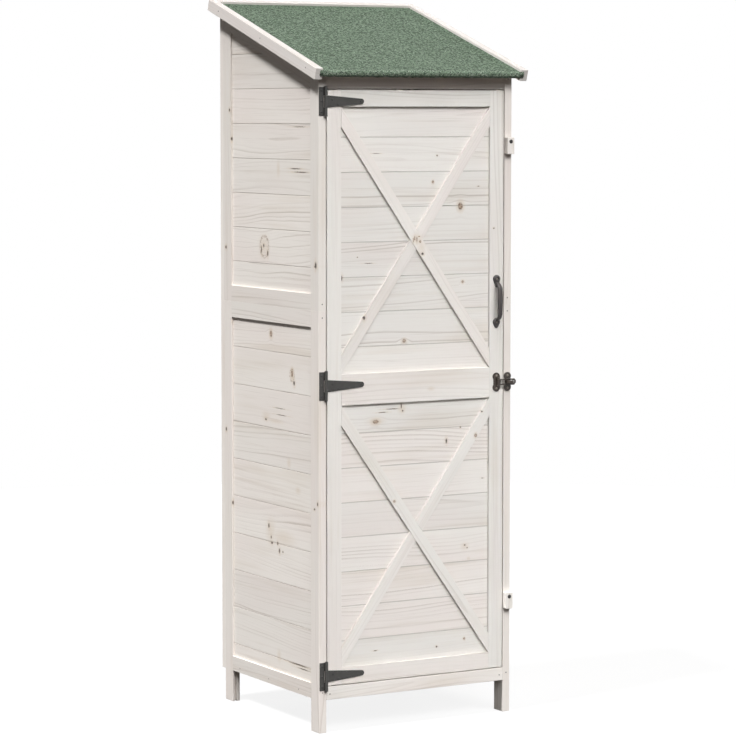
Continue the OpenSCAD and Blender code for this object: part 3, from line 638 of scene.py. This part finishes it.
def grow(obj, tree, values):
    """Makes what a tree grows on an object, with its inputs set by name, the object's own mesh."""
    modifier = obj.modifiers.new(tree.name, "NODES")
    modifier.node_group = tree
    for item in tree.interface.items_tree:
        if item.in_out == "INPUT" and item.name in values:
            modifier[item.identifier] = values[item.name]
    result = obj.evaluated_get(bpy.context.evaluated_depsgraph_get())
    mesh = bpy.data.meshes.new_from_object(result)
    obj.modifiers.clear()
    obj.data = mesh


def fastener_tree(name, material, recess):
    """Heads and shanks on the points of a mesh, aimed along its stored aim and turned by chance."""
    tree, bench, value = new_tree(
        name, ["Head radius", "Head height", "Shank radius", "Shank length", "Seed"]
    )
    radius, height = value["Head radius"], value["Head height"]

    ball = bench.node("GeometryNodeMeshUVSphere", {"Segments": 24, "Rings": 12, "Radius": radius})
    squash = bench.join(1.0, 1.0, height / radius)
    head = bench.node("GeometryNodeTransform", {"Geometry": ball, "Scale": squash})
    if recess:
        # The two bars of the cross, in shares of the head's radius
        for size in ((1.15, 0.22), (0.22, 1.15)):
            box = bench.join(radius * size[0], radius * size[1], height * 1.2)
            bar = bench.node("GeometryNodeMeshCube", {"Size": box})
            lift = bench.join(0.0, 0.0, height * 1.05)
            bar = bench.node("GeometryNodeTransform", {"Geometry": bar, "Translation": lift})
            cut = {0: head, 1: bar}
            head = bench.node("GeometryNodeMeshBoolean", cut, operation="DIFFERENCE")
    shank = bench.node(
        "GeometryNodeMeshCylinder",
        {"Vertices": 12, "Radius": value["Shank radius"], "Depth": value["Shank length"]},
    )
    sink = bench.join(0.0, 0.0, value["Shank length"] * -0.5)
    shank = bench.node("GeometryNodeTransform", {"Geometry": shank, "Translation": sink})
    both = tree.nodes.new("GeometryNodeJoinGeometry")
    tree.links.new(shank.socket, both.inputs[0])
    tree.links.new(head.socket, both.inputs[0])

    aim = bench.node("GeometryNodeInputNamedAttribute", {"Name": "aim"}, data_type="FLOAT_VECTOR")
    upright = bench.node("FunctionNodeAlignRotationToVector", {"Vector": aim}, axis="Z")
    turn = {2: 0.0, 3: math.tau, "Seed": value["Seed"]}
    angle = bench.node("FunctionNodeRandomValue", turn, 1, data_type="FLOAT")
    spin = bench.node("FunctionNodeAxisAngleToRotation", {"Axis": (0, 0, 1), "Angle": angle})
    both_turns = {"Rotation": upright, "Rotate By": spin}
    turned = bench.node("FunctionNodeRotateRotation", both_turns, rotation_space="LOCAL")
    fastener = Field(bench, both.outputs[0])
    instances = bench.node(
        "GeometryNodeInstanceOnPoints",
        {"Points": value["Geometry"], "Instance": fastener, "Rotation": turned},
    )
    end_tree(bench, instances, material)
    return tree


def granule_tree(name, material):
    """Small faceted stones strewn over a mesh's faces."""
    tree, bench, value = new_tree(name, ["Density", "Stone size", "Seed"])
    points = bench.node(
        "GeometryNodeDistributePointsOnFaces",
        {"Mesh": value["Geometry"], "Density": value["Density"], "Seed": value["Seed"]},
        distribute_method="RANDOM",
    )
    stone = bench.node(
        "GeometryNodeMeshIcoSphere", {"Radius": value["Stone size"], "Subdivisions": 1}
    )

    def spread(low, high, seed):
        sockets = {0: (low,) * 3, 1: (high,) * 3, "Seed": seed}
        return bench.node("FunctionNodeRandomValue", sockets, 0, data_type="FLOAT_VECTOR")

    turn = spread(0.0, math.tau, value["Seed"])
    size = spread(0.5, 1.3, value["Seed"] + 1.0)
    rotation = bench.node("FunctionNodeEulerToRotation", {"Euler": turn})
    instances = bench.node(
        "GeometryNodeInstanceOnPoints",
        {"Points": points, "Instance": stone, "Rotation": rotation, "Scale": size},
    )
    end_tree(bench, instances, material)
    return tree


def heads_of(node):
    """Where each fastener of a CAD node has the underside of its head, and the way it points."""
    bm = welded(node)
    found = []
    for verts in loose_parts(bm):
        spans = [span(verts, axis) for axis in AXES]
        axis = AXES[max(range(3), key=lambda k: spans[k][1] - spans[k][0])]
        centre = Vector([sum(pair) / 2 for pair in spans])

        def reach(vert):
            arm = vert.co - centre
            return (arm - axis * arm.dot(axis)).length

        # The head is the widest place, and it lies at the end that it is nearest to
        wide = max(verts, key=reach)
        way = axis if (wide.co - centre).dot(axis) > 0 else -axis
        base = min(vert.co.dot(way) for vert in verts if reach(vert) > 0.9 * reach(wide))
        found.append((centre - way * centre.dot(way) + way * base, way))
    bm.free()
    return found


def fasteners(node, tree, values, kind="heads", wanted=None):
    """The fasteners of one CAD node, or those whose place is wanted, as one mesh."""
    heads = [(place, way) for place, way in heads_of(node) if wanted is None or wanted(place)]
    name = f"{node}_{kind}"
    mesh = bpy.data.meshes.new(name)
    mesh.from_pydata([tuple(place) for place, _ in heads], [], [])
    aim = mesh.attributes.new("aim", "FLOAT_VECTOR", "POINT")
    aim.data.foreach_set("vector", [part for _, way in heads for part in way])
    obj = in_scene(name, mesh)
    grow(obj, tree, values)
    obj.data.polygons.foreach_set("use_smooth", [True] * len(obj.data.polygons))
    obj.data.set_sharp_from_angle(angle=math.radians(35))
    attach(obj, BODY_OF[node])
    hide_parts(node)


# What a user would change
class ShedColours(bpy.types.PropertyGroup):
    def tone(name, description, value):
        return bpy.props.FloatVectorProperty(
            name=name, description=description, subtype="COLOR", size=3, min=0, max=1,
            default=value,
        )

    front: tone("Front wash", "Wash on the door, the sill and the header", srgb(232, 229, 224))
    side: tone("Side wash", "Wash on the side and back walls", srgb(231, 226, 220))
    roof: tone("Barge wash", "Wash on the barge boards", srgb(226, 222, 218))
    inside: tone("Inside wash", "Wash on the floor and the shelves", srgb(222, 212, 200))
    felt: tone("Felt", "Mineral granules of the roofing felt", srgb(93, 111, 92))
    hinge: tone("Hinges", "Coating of the hinges and the screws", srgb(44, 43, 41))
    hasp: tone("Hasp", "Coating of the hasp", srgb(48, 41, 36))
    handle: tone("Handle", "Dark bronze of the pull handle", srgb(41, 37, 37))
    screw: tone("Catch screws", "Worn screws of the hasp and the handle", srgb(128, 120, 110))
    nail: tone("Nails", "Dull steel of the nail heads", srgb(128, 124, 120))


class ShedSizes(bpy.types.PropertyGroup):
    def length(name, description, value, low, high):
        return bpy.props.FloatProperty(
            name=name, description=description, default=value, min=low, max=high, unit="LENGTH"
        )

    arris: length("Arris", "How far timber edges are rounded", 0.0008, 0.0002, 0.003)
    plate_edge: length("Plate edge", "How far metal edges are rounded", 0.00035, 0.0001, 0.0008)
    ring_gap: length("Ring gap", "Distance between the growth rings", 0.0085, 0.002, 0.02)
    grit: length("Granule", "Size of the felt's granules", 0.0017, 0.0008, 0.004)


def colours():
    return bpy.context.scene.shed_colours


def sizes():
    return bpy.context.scene.shed_sizes


class SHED_OT_side_walls(bpy.types.Operator):
    """Legs, rails, stiles and boards of the two side walls"""

    bl_idname = "shed.side_walls"
    bl_label = "Side walls"

    def execute(self, context):
        base = tuple(colours().side)
        for side in ("left", "right"):
            seen = side == "left"
            boards = white_wash(
                f"{side}_board_wash", base, "side", SIDE_KNOTS if seen else None,
                0.0 if seen else 0.16, line=0.95, joint=0.32,
            )
            posts = white_wash(
                f"{side}_frame_wash", shade(base, 0.935), "side", POST_KNOTS if seen else None,
                0.0 if seen else 0.10, line=0.6,
            )
            for node in ("leg_front", "leg_rear", "lower_rails", "upper_stiles", "upper_rails"):
                timber(f"{side}_{node}", posts)
            for node in ("lower_boards", "upper_boards"):
                timber(f"{side}_{node}", boards, along=AXES[1])
        return {"FINISHED"}


class SHED_OT_back_wall(bpy.types.Operator):
    """Stiles, rails and boards of the back wall"""

    bl_idname = "shed.back_wall"
    bl_label = "Back wall"

    def execute(self, context):
        wash = white_wash("back_wash", tuple(colours().side), chance=0.16)
        boards = white_wash("back_board_wash", tuple(colours().side), chance=0.16, joint=0.30)
        for node in ("back_stiles", "back_rails"):
            timber(node, wash)
        timber("back_boards", boards, along=AXES[0])
        return {"FINISHED"}


class SHED_OT_front_frame(bpy.types.Operator):
    """Sill and header between the front legs"""

    bl_idname = "shed.front_frame"
    bl_label = "Sill and header"

    def execute(self, context):
        wash = white_wash("front_frame_wash", tuple(colours().front))
        for node in ("front_sill", "front_header"):
            timber(node, wash)
        return {"FINISHED"}


class SHED_OT_inside(bpy.types.Operator):
    """Floor, shelves, cleats and door stop"""

    bl_idname = "shed.inside"
    bl_label = "Floor and shelves"

    def execute(self, context):
        wash = white_wash("inside_wash", tuple(colours().inside), chance=0.2, line=1.3)
        for node in (
            "floor_boards", "floor_cleats", "shelf_lower", "shelf_upper", "shelf_cleats",
            "door_stop",
        ):
            timber(node, wash)
        return {"FINISHED"}


class SHED_OT_roof_timber(bpy.types.Operator):
    """Deck, barge boards and rear strip of the roof"""

    bl_idname = "shed.roof_timber"
    bl_label = "Roof timber"

    def execute(self, context):
        wash = white_wash("barge_wash", tuple(colours().roof), chance=0.05, line=0.7)
        deck = white_wash("deck_wash", tuple(colours().inside), chance=0.25, line=1.4)
        for node in ("barge_left", "barge_right", "roof_rear_strip"):
            timber(node, wash)
        timber("roof_deck", deck, along=AXES[0])
        return {"FINISHED"}


class SHED_OT_felt(bpy.types.Operator):
    """Roofing felt, with its turned down front edge and its granules"""

    bl_idname = "shed.felt"
    bl_label = "Roofing felt"

    HALF_WIDTH = 0.2782
    THICK = 0.003
    # Heights over the roof's level 0: the underside, and the foot of the turned down edge
    LEVEL = 0.020
    DRIP = 0.006
    # Places up the slope: the turned down edge, where it starts to bend, and the rear edge
    LIP = 0.0012
    BEND = 0.004
    REAR = 0.5756
    # Distance between the sheet's rows and columns
    STEP = 0.0042
    # The turned down edge has this many rows in its bend and as many below it
    FOLD_ROWS = 6
    BEND_SHARE = 0.15
    # How far up the slope the paler granules reach
    PALE_BAND = 0.012
    # The flap over a barge board: its width, thickness and rows, its top and how far it hangs
    FLAP = 0.013
    FLAP_THICK = 0.0011
    FLAP_ROWS = 9
    FLAP_TOP = 0.0235
    FLAP_FALL = 0.0175
    STONES = {"Density": 55000.0, "Stone size": 0.0008, "Seed": 5}

    def outer_path(self):
        """Places up the slope and out from the roof, from the rear edge to the drip, with a share
        that says how far along the turned down edge each lies."""
        top, front = self.LEVEL + self.THICK, self.BEND - self.LIP
        count = int((self.REAR - self.BEND) / self.STEP)
        path = [
            (self.REAR + (front - self.REAR) * k / count, top, 0.0) for k in range(count + 1)
        ]
        shares = [(k + 1) / self.FOLD_ROWS for k in range(self.FOLD_ROWS)]
        for share in shares:
            turn = math.radians(90 * share)
            up = front - self.BEND * math.sin(turn)
            out = top - self.BEND + self.BEND * math.cos(turn)
            path.append((up, out, self.BEND_SHARE * share))
        for share in shares:
            out = top - self.BEND + (self.DRIP - top + self.BEND) * share
            path.append((-self.LIP, out, self.BEND_SHARE + (1 - self.BEND_SHARE) * share))
        return path

    def rough(self, x, up, out, fold):
        """A point of the outer face, with the felt's swell and grain and its torn lower edge."""
        ragged = noise.noise((x * 90, 3.1, 0)) + 0.6 * noise.noise((x * 260, 7.7, 0))
        swell = noise.noise((x * 9, up * 9, 1.7)) * (1 - fold)
        grain = noise.noise((x * 300, up * 300, out * 300))
        lift = 0.0004 * swell + 0.00025 * grain - 0.0006
        drop = 0.0016 * (ragged + 1.0) * max(0.0, fold - 0.2)
        push = 0.0003 * grain * fold + 0.0006 * fold * (1 + noise.noise((x * 14, 0, 5)))
        return on_roof(x, up + push, out + lift * (1 - fold) + drop)

    def sheet(self):
        """The closed sheet, as its outline from the side, swept across the roof."""
        path, inner = self.outer_path(), self.THICK - self.LIP
        # The bare underside lies one thickness inside, with few points where nobody sees it
        under = [(inner, self.DRIP + 0.0012), (inner, self.LEVEL), (self.REAR, self.LEVEL)]
        columns = int(2 * self.HALF_WIDTH / self.STEP) + 1
        verts = []
        for column in range(columns):
            x = self.HALF_WIDTH * (2 * column / (columns - 1) - 1)
            verts += [self.rough(x, *point) for point in path]
            verts += [on_roof(x, *point) for point in under]
        strip = []
        for up, _, fold in path:
            near = max(0.0, 1 - abs(up + self.LIP) / self.PALE_BAND)
            strip.append(1 + max(near * 0.4, fold))
        strip += [0.0] * len(under)
        ring = len(strip)
        faces = grid_faces(columns, ring, closed=True)
        faces += [tuple(range(end, end + ring)) for end in (0, len(verts) - ring)]
        return verts, faces, strip * columns

    def flap(self, side):
        """The felt's end, folded over the front end of a barge board, with torn edges."""
        count = self.FLAP_ROWS
        last = count - 1
        verts, mineral = [], []
        for up in (-self.LIP, self.FLAP_THICK - self.LIP):
            for row in range(count):
                fall = row / last
                reach = self.FLAP * (0.75 + 0.35 * noise.noise((row * 0.9, 5.3 * side, 2.2)))
                for column in range(count):
                    torn = 0.82 + 0.3 * noise.noise((column * 1.1, 2.7 * side, 8.8))
                    x = side * (self.HALF_WIDTH - 0.002 + reach * column / last)
                    verts.append(on_roof(x, up, self.FLAP_TOP - self.FLAP_FALL * fall * torn))
                    mineral.append(1.2 + 0.8 * fall)
        front = grid_faces(count, count)
        back = [tuple(count * count + i for i in face) for face in front]
        edge = [(0, k) for k in range(last)] + [(k, last) for k in range(last)]
        edge += [(last, k) for k in range(last, 0, -1)] + [(k, 0) for k in range(last, 0, -1)]
        loop = [row * count + column for row, column in edge]
        rim = [
            (a, b, b + count * count, a + count * count)
            for a, b in zip(loop, loop[1:] + loop[:1])
        ]
        return verts, front + back + rim, mineral

    def execute(self, context):
        felt = mineral_felt("mineral_felt", tuple(colours().felt), sizes().grit)
        verts, faces, mineral = self.sheet()
        for side in (-1, 1):
            more, sides, minerals = self.flap(side)
            faces += [tuple(len(verts) + i for i in face) for face in sides]
            verts += more
            mineral += minerals
        mesh = bpy.data.meshes.new("roof_felt_sheet")
        mesh.from_pydata(verts, [], faces)
        stored = mesh.attributes.new("mineral", "FLOAT", "POINT")
        stored.data.foreach_set("value", mineral)
        facing_out(mesh)
        piece_from("roof_felt_sheet", mesh, felt, "roof_felt", smooth=True)
        mesh.set_sharp_from_angle(angle=math.radians(60))
        self.strew()
        return {"FINISHED"}

    def strew(self):
        """Pale stones that stand out along the folded edge."""

        def surface(bench):
            place = bench.place()
            mix = bench.ease(bench.noise(place, 900.0, 1.0), 0.35, 0.65)
            return {
                "Base Color": bench.blend(mix, srgb(112, 132, 112), srgb(196, 206, 190)),
                "Roughness": 0.6 + bench.noise(place, 500.0) * 0.3,
            }

        top, front = self.LEVEL + self.THICK - 0.0006, -0.0006
        path = [(0.009, top), (0.003, top), (front, top - 0.004), (front, self.DRIP + 0.009)]
        half = self.HALF_WIDTH * 0.995
        verts = [on_roof(half * side, up, out) for up, out in path for side in (-1, 1)]
        mesh = bpy.data.meshes.new("felt_granules")
        mesh.from_pydata(verts, [], grid_faces(len(path), 2))
        obj = in_scene("felt_granules", mesh)
        grow(obj, granule_tree("granules", finish("pale_granules", surface)), self.STONES)
        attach(obj, BODY_OF["roof_felt"])


class SHED_OT_door(bpy.types.Operator):
    """Stiles, rails, boards and braces of the door"""

    bl_idname = "shed.door"
    bl_label = "Door"

    # The darkest and the brightest rail: the top rail is darkened as painted shade from the eaves,
    # and the bottom rail has the brightest of the rails' own tones
    RAIL_TONE_AND_PAINTED_SHADE = {"door_rail_top": -0.7, "door_rail_bottom": 1.0}

    def execute(self, context):
        base = tuple(colours().front)
        boards = white_wash("door_board_wash", base, "front", DOOR_KNOTS, joint=0.42)
        rails = white_wash("door_frame_wash", base, "front", FRAME_KNOTS, line=0.6)
        for node in (
            "stile_hinge", "stile_latch", "rail_top", "rail_middle", "rail_bottom",
            "brace_upper", "brace_upper_halves", "brace_lower", "brace_lower_halves",
        ):
            # The top rail's number paints the eaves' shade on it
            timber(f"door_{node}", rails, number=self.RAIL_TONE_AND_PAINTED_SHADE.get(f"door_{node}"))
        for node in ("door_boards_upper", "door_boards_lower"):
            timber(node, boards, along=AXES[0])
        return {"FINISHED"}


class SHED_OT_hinges(bpy.types.Operator):
    """Frame leaves, straps and pins of the three T-hinges"""

    bl_idname = "shed.hinges"
    bl_label = "Hinges"

    def execute(self, context):
        base = tuple(colours().hinge)
        coat = coated_metal("hinge_coat", base, shade(base, 1.25))
        for place in ("top", "middle", "bottom"):
            for kind in ("leaf", "strap"):
                plate(f"hinge_{kind}_{place}", coat, sizes().plate_edge)
        plate("hinge_pins", coat, 0.0002)
        return {"FINISHED"}


class SHED_OT_handle(bpy.types.Operator):
    """Cast pull handle: a bowed grip between a drop-shaped and an egg-shaped foot"""

    bl_idname = "shed.handle"
    bl_label = "Pull handle"

    HALF_LENGTH = 0.066
    FOOT = 0.010
    # Distance from a foot's middle to the middle of its narrow end, and that end's radius
    DROP = (0.018, 0.0035)
    EGG = (0.009, 0.006)
    # The grip's distance from the door, in its middle and at its roots, and how square it bows
    STAND_OFF = 0.0185
    ROOT = 0.0036
    BOW = 8
    GRIP_END = 0.046
    # Half its width and half its depth, in its middle and at its roots
    WIDE = (0.0068, 0.0052)
    DEEP = (0.0044, 0.0034)
    RINGS = 64
    SIDES = 28
    # A foot's rim, its rise over the rim, what the taper loses of it, and its screw's seat
    RIM = 0.0014
    DOME = 0.0051
    TAPER = 0.0026
    SEAT = 0.0024
    SEAT_RADIUS = 0.0036
    FOOT_RINGS = 14
    FOOT_SIDES = 44
    TINT = srgb(57, 52, 51)

    def grip(self, centre):
        verts = []
        rise_all = self.STAND_OFF - self.ROOT
        for ring in range(self.RINGS + 1):
            s = math.sin(math.pi * (ring / self.RINGS - 0.5))
            out = self.STAND_OFF - rise_all * s**self.BOW
            lean = math.atan(self.BOW * rise_all * s ** (self.BOW - 1) / self.GRIP_END)
            wide = self.WIDE[0] + (self.WIDE[1] - self.WIDE[0]) * s * s
            deep = self.DEEP[0] + (self.DEEP[1] - self.DEEP[0]) * s * s
            axis = Vector((0, -out, self.GRIP_END * s))
            for side in range(self.SIDES):
                turn = math.tau * side / self.SIDES
                rise = deep * math.sin(turn)
                arm = Vector((wide * math.cos(turn), -rise * math.cos(lean), rise * math.sin(lean)))
                dent = 1 + 0.03 * noise.noise((axis + arm) * 260)
                verts.append(centre + axis + arm * dent)
        faces = grid_faces(self.RINGS + 1, self.SIDES, closed=True)
        faces.append(tuple(range(self.SIDES)))
        last = self.RINGS * self.SIDES
        faces.append(tuple(range(last, last + self.SIDES)))
        return verts, faces

    def outline(self, turn, length, tip):
        """How far a foot reaches from its middle at a turn from its narrow end's side."""
        best = self.FOOT
        for step in range(25):
            share = step / 24
            along, radius = share * length, self.FOOT + (tip - self.FOOT) * share
            rest = radius**2 - (along * math.sin(turn)) ** 2
            if rest >= 0:
                best = max(best, along * math.cos(turn) + math.sqrt(rest))
        return best

    def foot(self, centre, up, length, tip):
        """A dome that runs out downwards to its narrow end, with a seat for its screw and veins
        along the taper."""
        sides = self.FOOT_SIDES
        verts = [centre + Vector((0, -self.SEAT, up))]
        for ring in range(1, self.FOOT_RINGS + 1):
            reach = ring / self.FOOT_RINGS
            for side in range(sides):
                turn = math.tau * side / sides
                radius = self.outline(turn, length, tip) * reach
                u, v = radius * math.sin(turn), -radius * math.cos(turn)
                full = self.DOME - self.TAPER * min(1.0, max(0.0, -v / length))
                dome = self.RIM + full * math.sqrt(max(0.0, 1 - reach**2.2))
                seat = math.exp(-(((u * u + v * v) / self.SEAT_RADIUS**2) ** 2))
                vein = 0.0004 * math.cos(u * 3600) * min(1.0, max(0.0, -v / 0.012))
                height = (dome + vein * (1 - reach**4)) * (1 - seat) + self.SEAT * seat
                height *= 1 + 0.04 * noise.noise(Vector((u, v, up)) * 380)
                verts.append(centre + Vector((u, -height, up + v)))
        for rim in verts[-sides:]:
            verts.append(Vector((rim.x, centre.y, rim.z)))
        faces = [(0, 1 + side, 1 + (side + 1) % sides) for side in range(sides)]
        faces += [
            tuple(1 + i for i in face) for face in grid_faces(self.FOOT_RINGS + 1, sides, True)
        ]
        faces.append(tuple(range(len(verts) - sides, len(verts))))
        return verts, faces

    def execute(self, context):
        low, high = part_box("door_handle")
        centre = Vector(((low.x + high.x) / 2, FRONT_Y, (low.z + high.z) / 2))
        verts, faces = self.grip(centre)
        drop = self.HALF_LENGTH - self.FOOT
        egg = sum(self.EGG) - self.HALF_LENGTH
        for up, shape in ((drop, self.DROP), (egg, self.EGG)):
            more, sides = self.foot(centre, up, *shape)
            faces += [tuple(len(verts) + i for i in face) for face in sides]
            verts += more
        mesh = bpy.data.meshes.new("door_handle_casting")
        mesh.from_pydata(verts, [], faces)
        facing_out(mesh)
        base = tuple(colours().handle)
        bronze = coated_metal("handle_bronze", base, self.TINT, 0.54, 260.0, 0.00022, metallic=0.1)
        piece_from("door_handle_casting", mesh, bronze, "door_handle", smooth=True)
        mesh.set_sharp_from_angle(angle=math.radians(50))
        return {"FINISHED"}


class SHED_OT_hasp(bpy.types.Operator):
    """Plates, pin, slotted link and turn knob of the hasp"""

    bl_idname = "shed.hasp"
    bl_label = "Hasp"

    def execute(self, context):
        base = tuple(colours().hasp)
        coat = coated_metal("hasp_coat", base, shade(base, 1.3), 0.40)
        for node in ("hasp_plate", "keeper_plate", "hasp_link", "hasp_knob"):
            plate(node, coat, 0.0004)
        plate("hasp_pin", coat, 0.0002)
        return {"FINISHED"}


class SHED_OT_turn_buttons(bpy.types.Operator):
    """The two wooden turn buttons"""

    bl_idname = "shed.turn_buttons"
    bl_label = "Turn buttons"

    def execute(self, context):
        wash = white_wash("button_wash", shade(colours().front, 0.98), line=1.2, gap=0.004)
        for node in ("turn_button_upper", "turn_button_lower"):
            timber(node, wash, arris=0.0012)
        return {"FINISHED"}


class SHED_OT_fasteners(bpy.types.Operator):
    """Nails and screws, each set from one tree"""

    bl_idname = "shed.fasteners"
    bl_label = "Nails and screws"

    def execute(self, context):
        def steel(name, base, tint, *rest, **more):
            return coated_metal(name, base, shade(base, tint), *rest, **more)

        coat = steel("screw_coat", shade(colours().hinge, 0.55), 1.4, 0.5)
        bright = steel("catch_screws", tuple(colours().screw), 0.7, 0.42, metallic=0.3)
        dull = steel("nail_steel", tuple(colours().nail), 0.6, 0.42, metallic=0.8)
        cross = fastener_tree("cross_head_screw", coat, recess=True)
        catch = fastener_tree("catch_screw", bright, recess=True)
        flat = fastener_tree("flat_head_nail", dull, recess=False)

        def sizes_of(*values):
            names = ("Head radius", "Head height", "Shank radius", "Shank length", "Seed")
            return dict(zip(names, values))

        # The hinges' screws lie on the left, those of the hasp and the handle on the right
        for seed, node in ((3, "post_screws"), (11, "door_screws")):
            values = sizes_of(0.003, 0.0014, 0.0015, 0.014, seed)
            fasteners(node, cross, values, wanted=lambda place: place.x < 0)
            fasteners(node, catch, values, "catch_heads", wanted=lambda place: place.x > 0)
        fasteners("button_screws", cross, sizes_of(0.005, 0.0022, 0.0021, 0.030, 2))
        fasteners("nails", flat, sizes_of(0.0017, 0.0003, 0.001, 0.034, 7))
        return {"FINISHED"}


class SHED_OT_stage(bpy.types.Operator):
    """Pale floor, soft studio light and the camera at the photograph's angle"""

    bl_idname = "shed.stage"
    bl_label = "Stage"

    # The photograph's camera is level with a large vertical shift, which the other views would
    # keep and lose the roof with, so this one is dipped instead, and its shift is small
    CAMERA = (-3.6536, -6.3336, 1.4882)
    CAMERA_TURN = -30.019
    CAMERA_DIP = 4.507
    LENS = 142.95
    SHIFT = -0.03
    # What the sky and the floor give to the shed, while the camera sees them white
    AMBIENT = (0.077, 0.068, 0.061)
    BOUNCE = (0.026, 0.023, 0.021)
    FLOOR_RADIUS = 4.5
    # How much of the floor's white is light of its own, so that its shadow stays faint
    FLOOR_GLOW = 0.86
    BARGES = ("barge_left", "barge_right", "roof_rear_strip")
    FELT = ("roof_felt_sheet", "felt_granules")
    DOOR = ("door_stile", "door_rail", "door_board", "door_brace")
    # Where each lamp stands as seen from the shed, its strength, how soft its shadow is, and
    # the pieces that it leaves out or lights alone, by how their names start. The roof and the
    # door's upper arrises face the side lamp so squarely that their white would clip, so each
    # has a lamp of its own in its place. The header lies in the shade of the eaves, so it has
    # a weak lamp in place of the front one.
    SUNS = [
        ("front_key", (-0.14, -0.735, 0.66), 3.27, 42.0, "EXCLUDE", BARGES + ("front_header",)),
        ("front_fill", (0.29, -0.70, 0.65), 0.65, 10.0, "EXCLUDE", BARGES),
        ("side_key", (-0.49, -0.05, 0.87), 4.35, 9.0, "EXCLUDE", BARGES + FELT + DOOR),
        ("door_side_key", (-0.87, -0.10, 0.48), 0.3, 12.0, "INCLUDE", DOOR),
        ("barge_key", (-0.52, -0.55, 0.655), 4.75, 9.0, "INCLUDE", BARGES),
        ("header_key", (-0.14, -0.81, 0.57), 0.4, 40.0, "INCLUDE", ("front_header",)),
        ("rear_fill", (0.70, 0.70, 0.15), 3.4, 30.0, None, ()),
    ]

    def execute(self, context):
        scene = context.scene
        scene.view_settings.view_transform = "Standard"
        camera = in_scene("camera", bpy.data.cameras.new("camera"))
        camera.location = self.CAMERA
        turns = (90 - self.CAMERA_DIP, 0, self.CAMERA_TURN)
        camera.rotation_euler = [math.radians(turn) for turn in turns]
        camera.data.sensor_width = 36
        camera.data.lens = self.LENS
        camera.data.shift_y = self.SHIFT
        scene.camera = camera

        for name, towards, strength, spread, state, pieces in self.SUNS:
            lamp = in_scene(name, bpy.data.lights.new(name, "SUN"))
            lamp.data.energy = strength
            lamp.data.angle = math.radians(spread)
            lamp.rotation_euler = Vector(towards).to_track_quat("Z", "Y").to_euler()
            if state:
                self.flag(lamp, state, pieces)

        world = bpy.data.worlds.new("studio")
        scene.world = world
        world.use_nodes = True
        bench, seen = self.cleared(world.node_tree)
        tone = bench.blend(seen, self.AMBIENT, (1, 1, 1))
        sky = bench.node("ShaderNodeBackground", {"Color": tone, "Strength": 1.0})
        output = world.node_tree.nodes.new("ShaderNodeOutputWorld")
        world.node_tree.links.new(sky.socket, output.inputs["Surface"])

        bm = bmesh.new()
        bmesh.ops.create_circle(bm, cap_ends=True, segments=96, radius=self.FLOOR_RADIUS)
        floor = in_scene("floor", mesh_of(bm, "floor"))
        white = bpy.data.materials.new("floor_white")
        white.use_nodes = True
        bench, seen = self.cleared(white.node_tree)
        tone = bench.blend(seen, self.BOUNCE, (0.8, 0.8, 0.8))
        paint = bench.node("ShaderNodeBsdfDiffuse", {"Color": tone})
        light = bench.node("ShaderNodeEmission", {"Color": (1, 1, 1, 1), "Strength": 1.0})
        glow = seen * self.FLOOR_GLOW
        both = bench.node("ShaderNodeMixShader", {0: glow, 1: paint, 2: light})
        output = white.node_tree.nodes.new("ShaderNodeOutputMaterial")
        white.node_tree.links.new(both.socket, output.inputs["Surface"])
        floor.data.materials.append(white)
        return {"FINISHED"}

    def flag(self, lamp, state, pieces):
        """Keeps a lamp's light off some pieces, or on them alone, as a flag in a studio does."""
        group = bpy.data.collections.new(f"{lamp.name}_flag")
        for obj in bpy.data.objects:
            if obj.name.startswith(pieces):
                group.objects.link(obj)
        lamp.light_linking.receiver_collection = group
        for item in group.collection_objects:
            item.light_linking.link_state = state

    def cleared(self, tree):
        """A bench on an emptied tree, and 1 for what the camera sees itself, in a gloss or
        through glass."""
        tree.nodes.clear()
        bench = Bench(tree)
        path = bench.node("ShaderNodeLightPath").socket.node.outputs
        camera, gloss, glass = [
            Field(bench, path[f"Is {kind} Ray"]) for kind in ("Camera", "Glossy", "Transmission")
        ]
        return bench, bench.least(camera + gloss + glass, 1.0)


PIECES = [
    SHED_OT_side_walls, SHED_OT_back_wall, SHED_OT_front_frame, SHED_OT_inside,
    SHED_OT_roof_timber, SHED_OT_felt, SHED_OT_door, SHED_OT_hinges, SHED_OT_handle,
    SHED_OT_hasp, SHED_OT_turn_buttons, SHED_OT_fasteners, SHED_OT_stage,
]


class SHED_PT_panel(bpy.types.Panel):
    """Lists the pieces, their sizes and their colours"""

    bl_idname = "SHED_PT_panel"
    bl_label = "Garden shed"
    bl_space_type = "VIEW_3D"
    bl_region_type = "UI"
    bl_category = "Shed"

    def draw(self, context):
        for operator in PIECES:
            self.layout.operator(operator.bl_idname)
        for group in (context.scene.shed_sizes, context.scene.shed_colours):
            for name in group.__annotations__:
                self.layout.prop(group, name)


CLASSES = [ShedColours, ShedSizes, *PIECES, SHED_PT_panel]


def register():
    for cls in CLASSES:
        bpy.utils.register_class(cls)
    bpy.types.Scene.shed_colours = bpy.props.PointerProperty(type=ShedColours)
    bpy.types.Scene.shed_sizes = bpy.props.PointerProperty(type=ShedSizes)


def unregister():
    del bpy.types.Scene.shed_sizes
    del bpy.types.Scene.shed_colours
    for cls in reversed(CLASSES):
        bpy.utils.unregister_class(cls)


def main():
    register()
    for operator in PIECES:
        group, name = operator.bl_idname.split(".")
        if getattr(getattr(bpy.ops, group), name)() != {"FINISHED"}:
            raise RuntimeError(f"{operator.bl_label} did not finish")


if __name__ == "__main__":
    main()
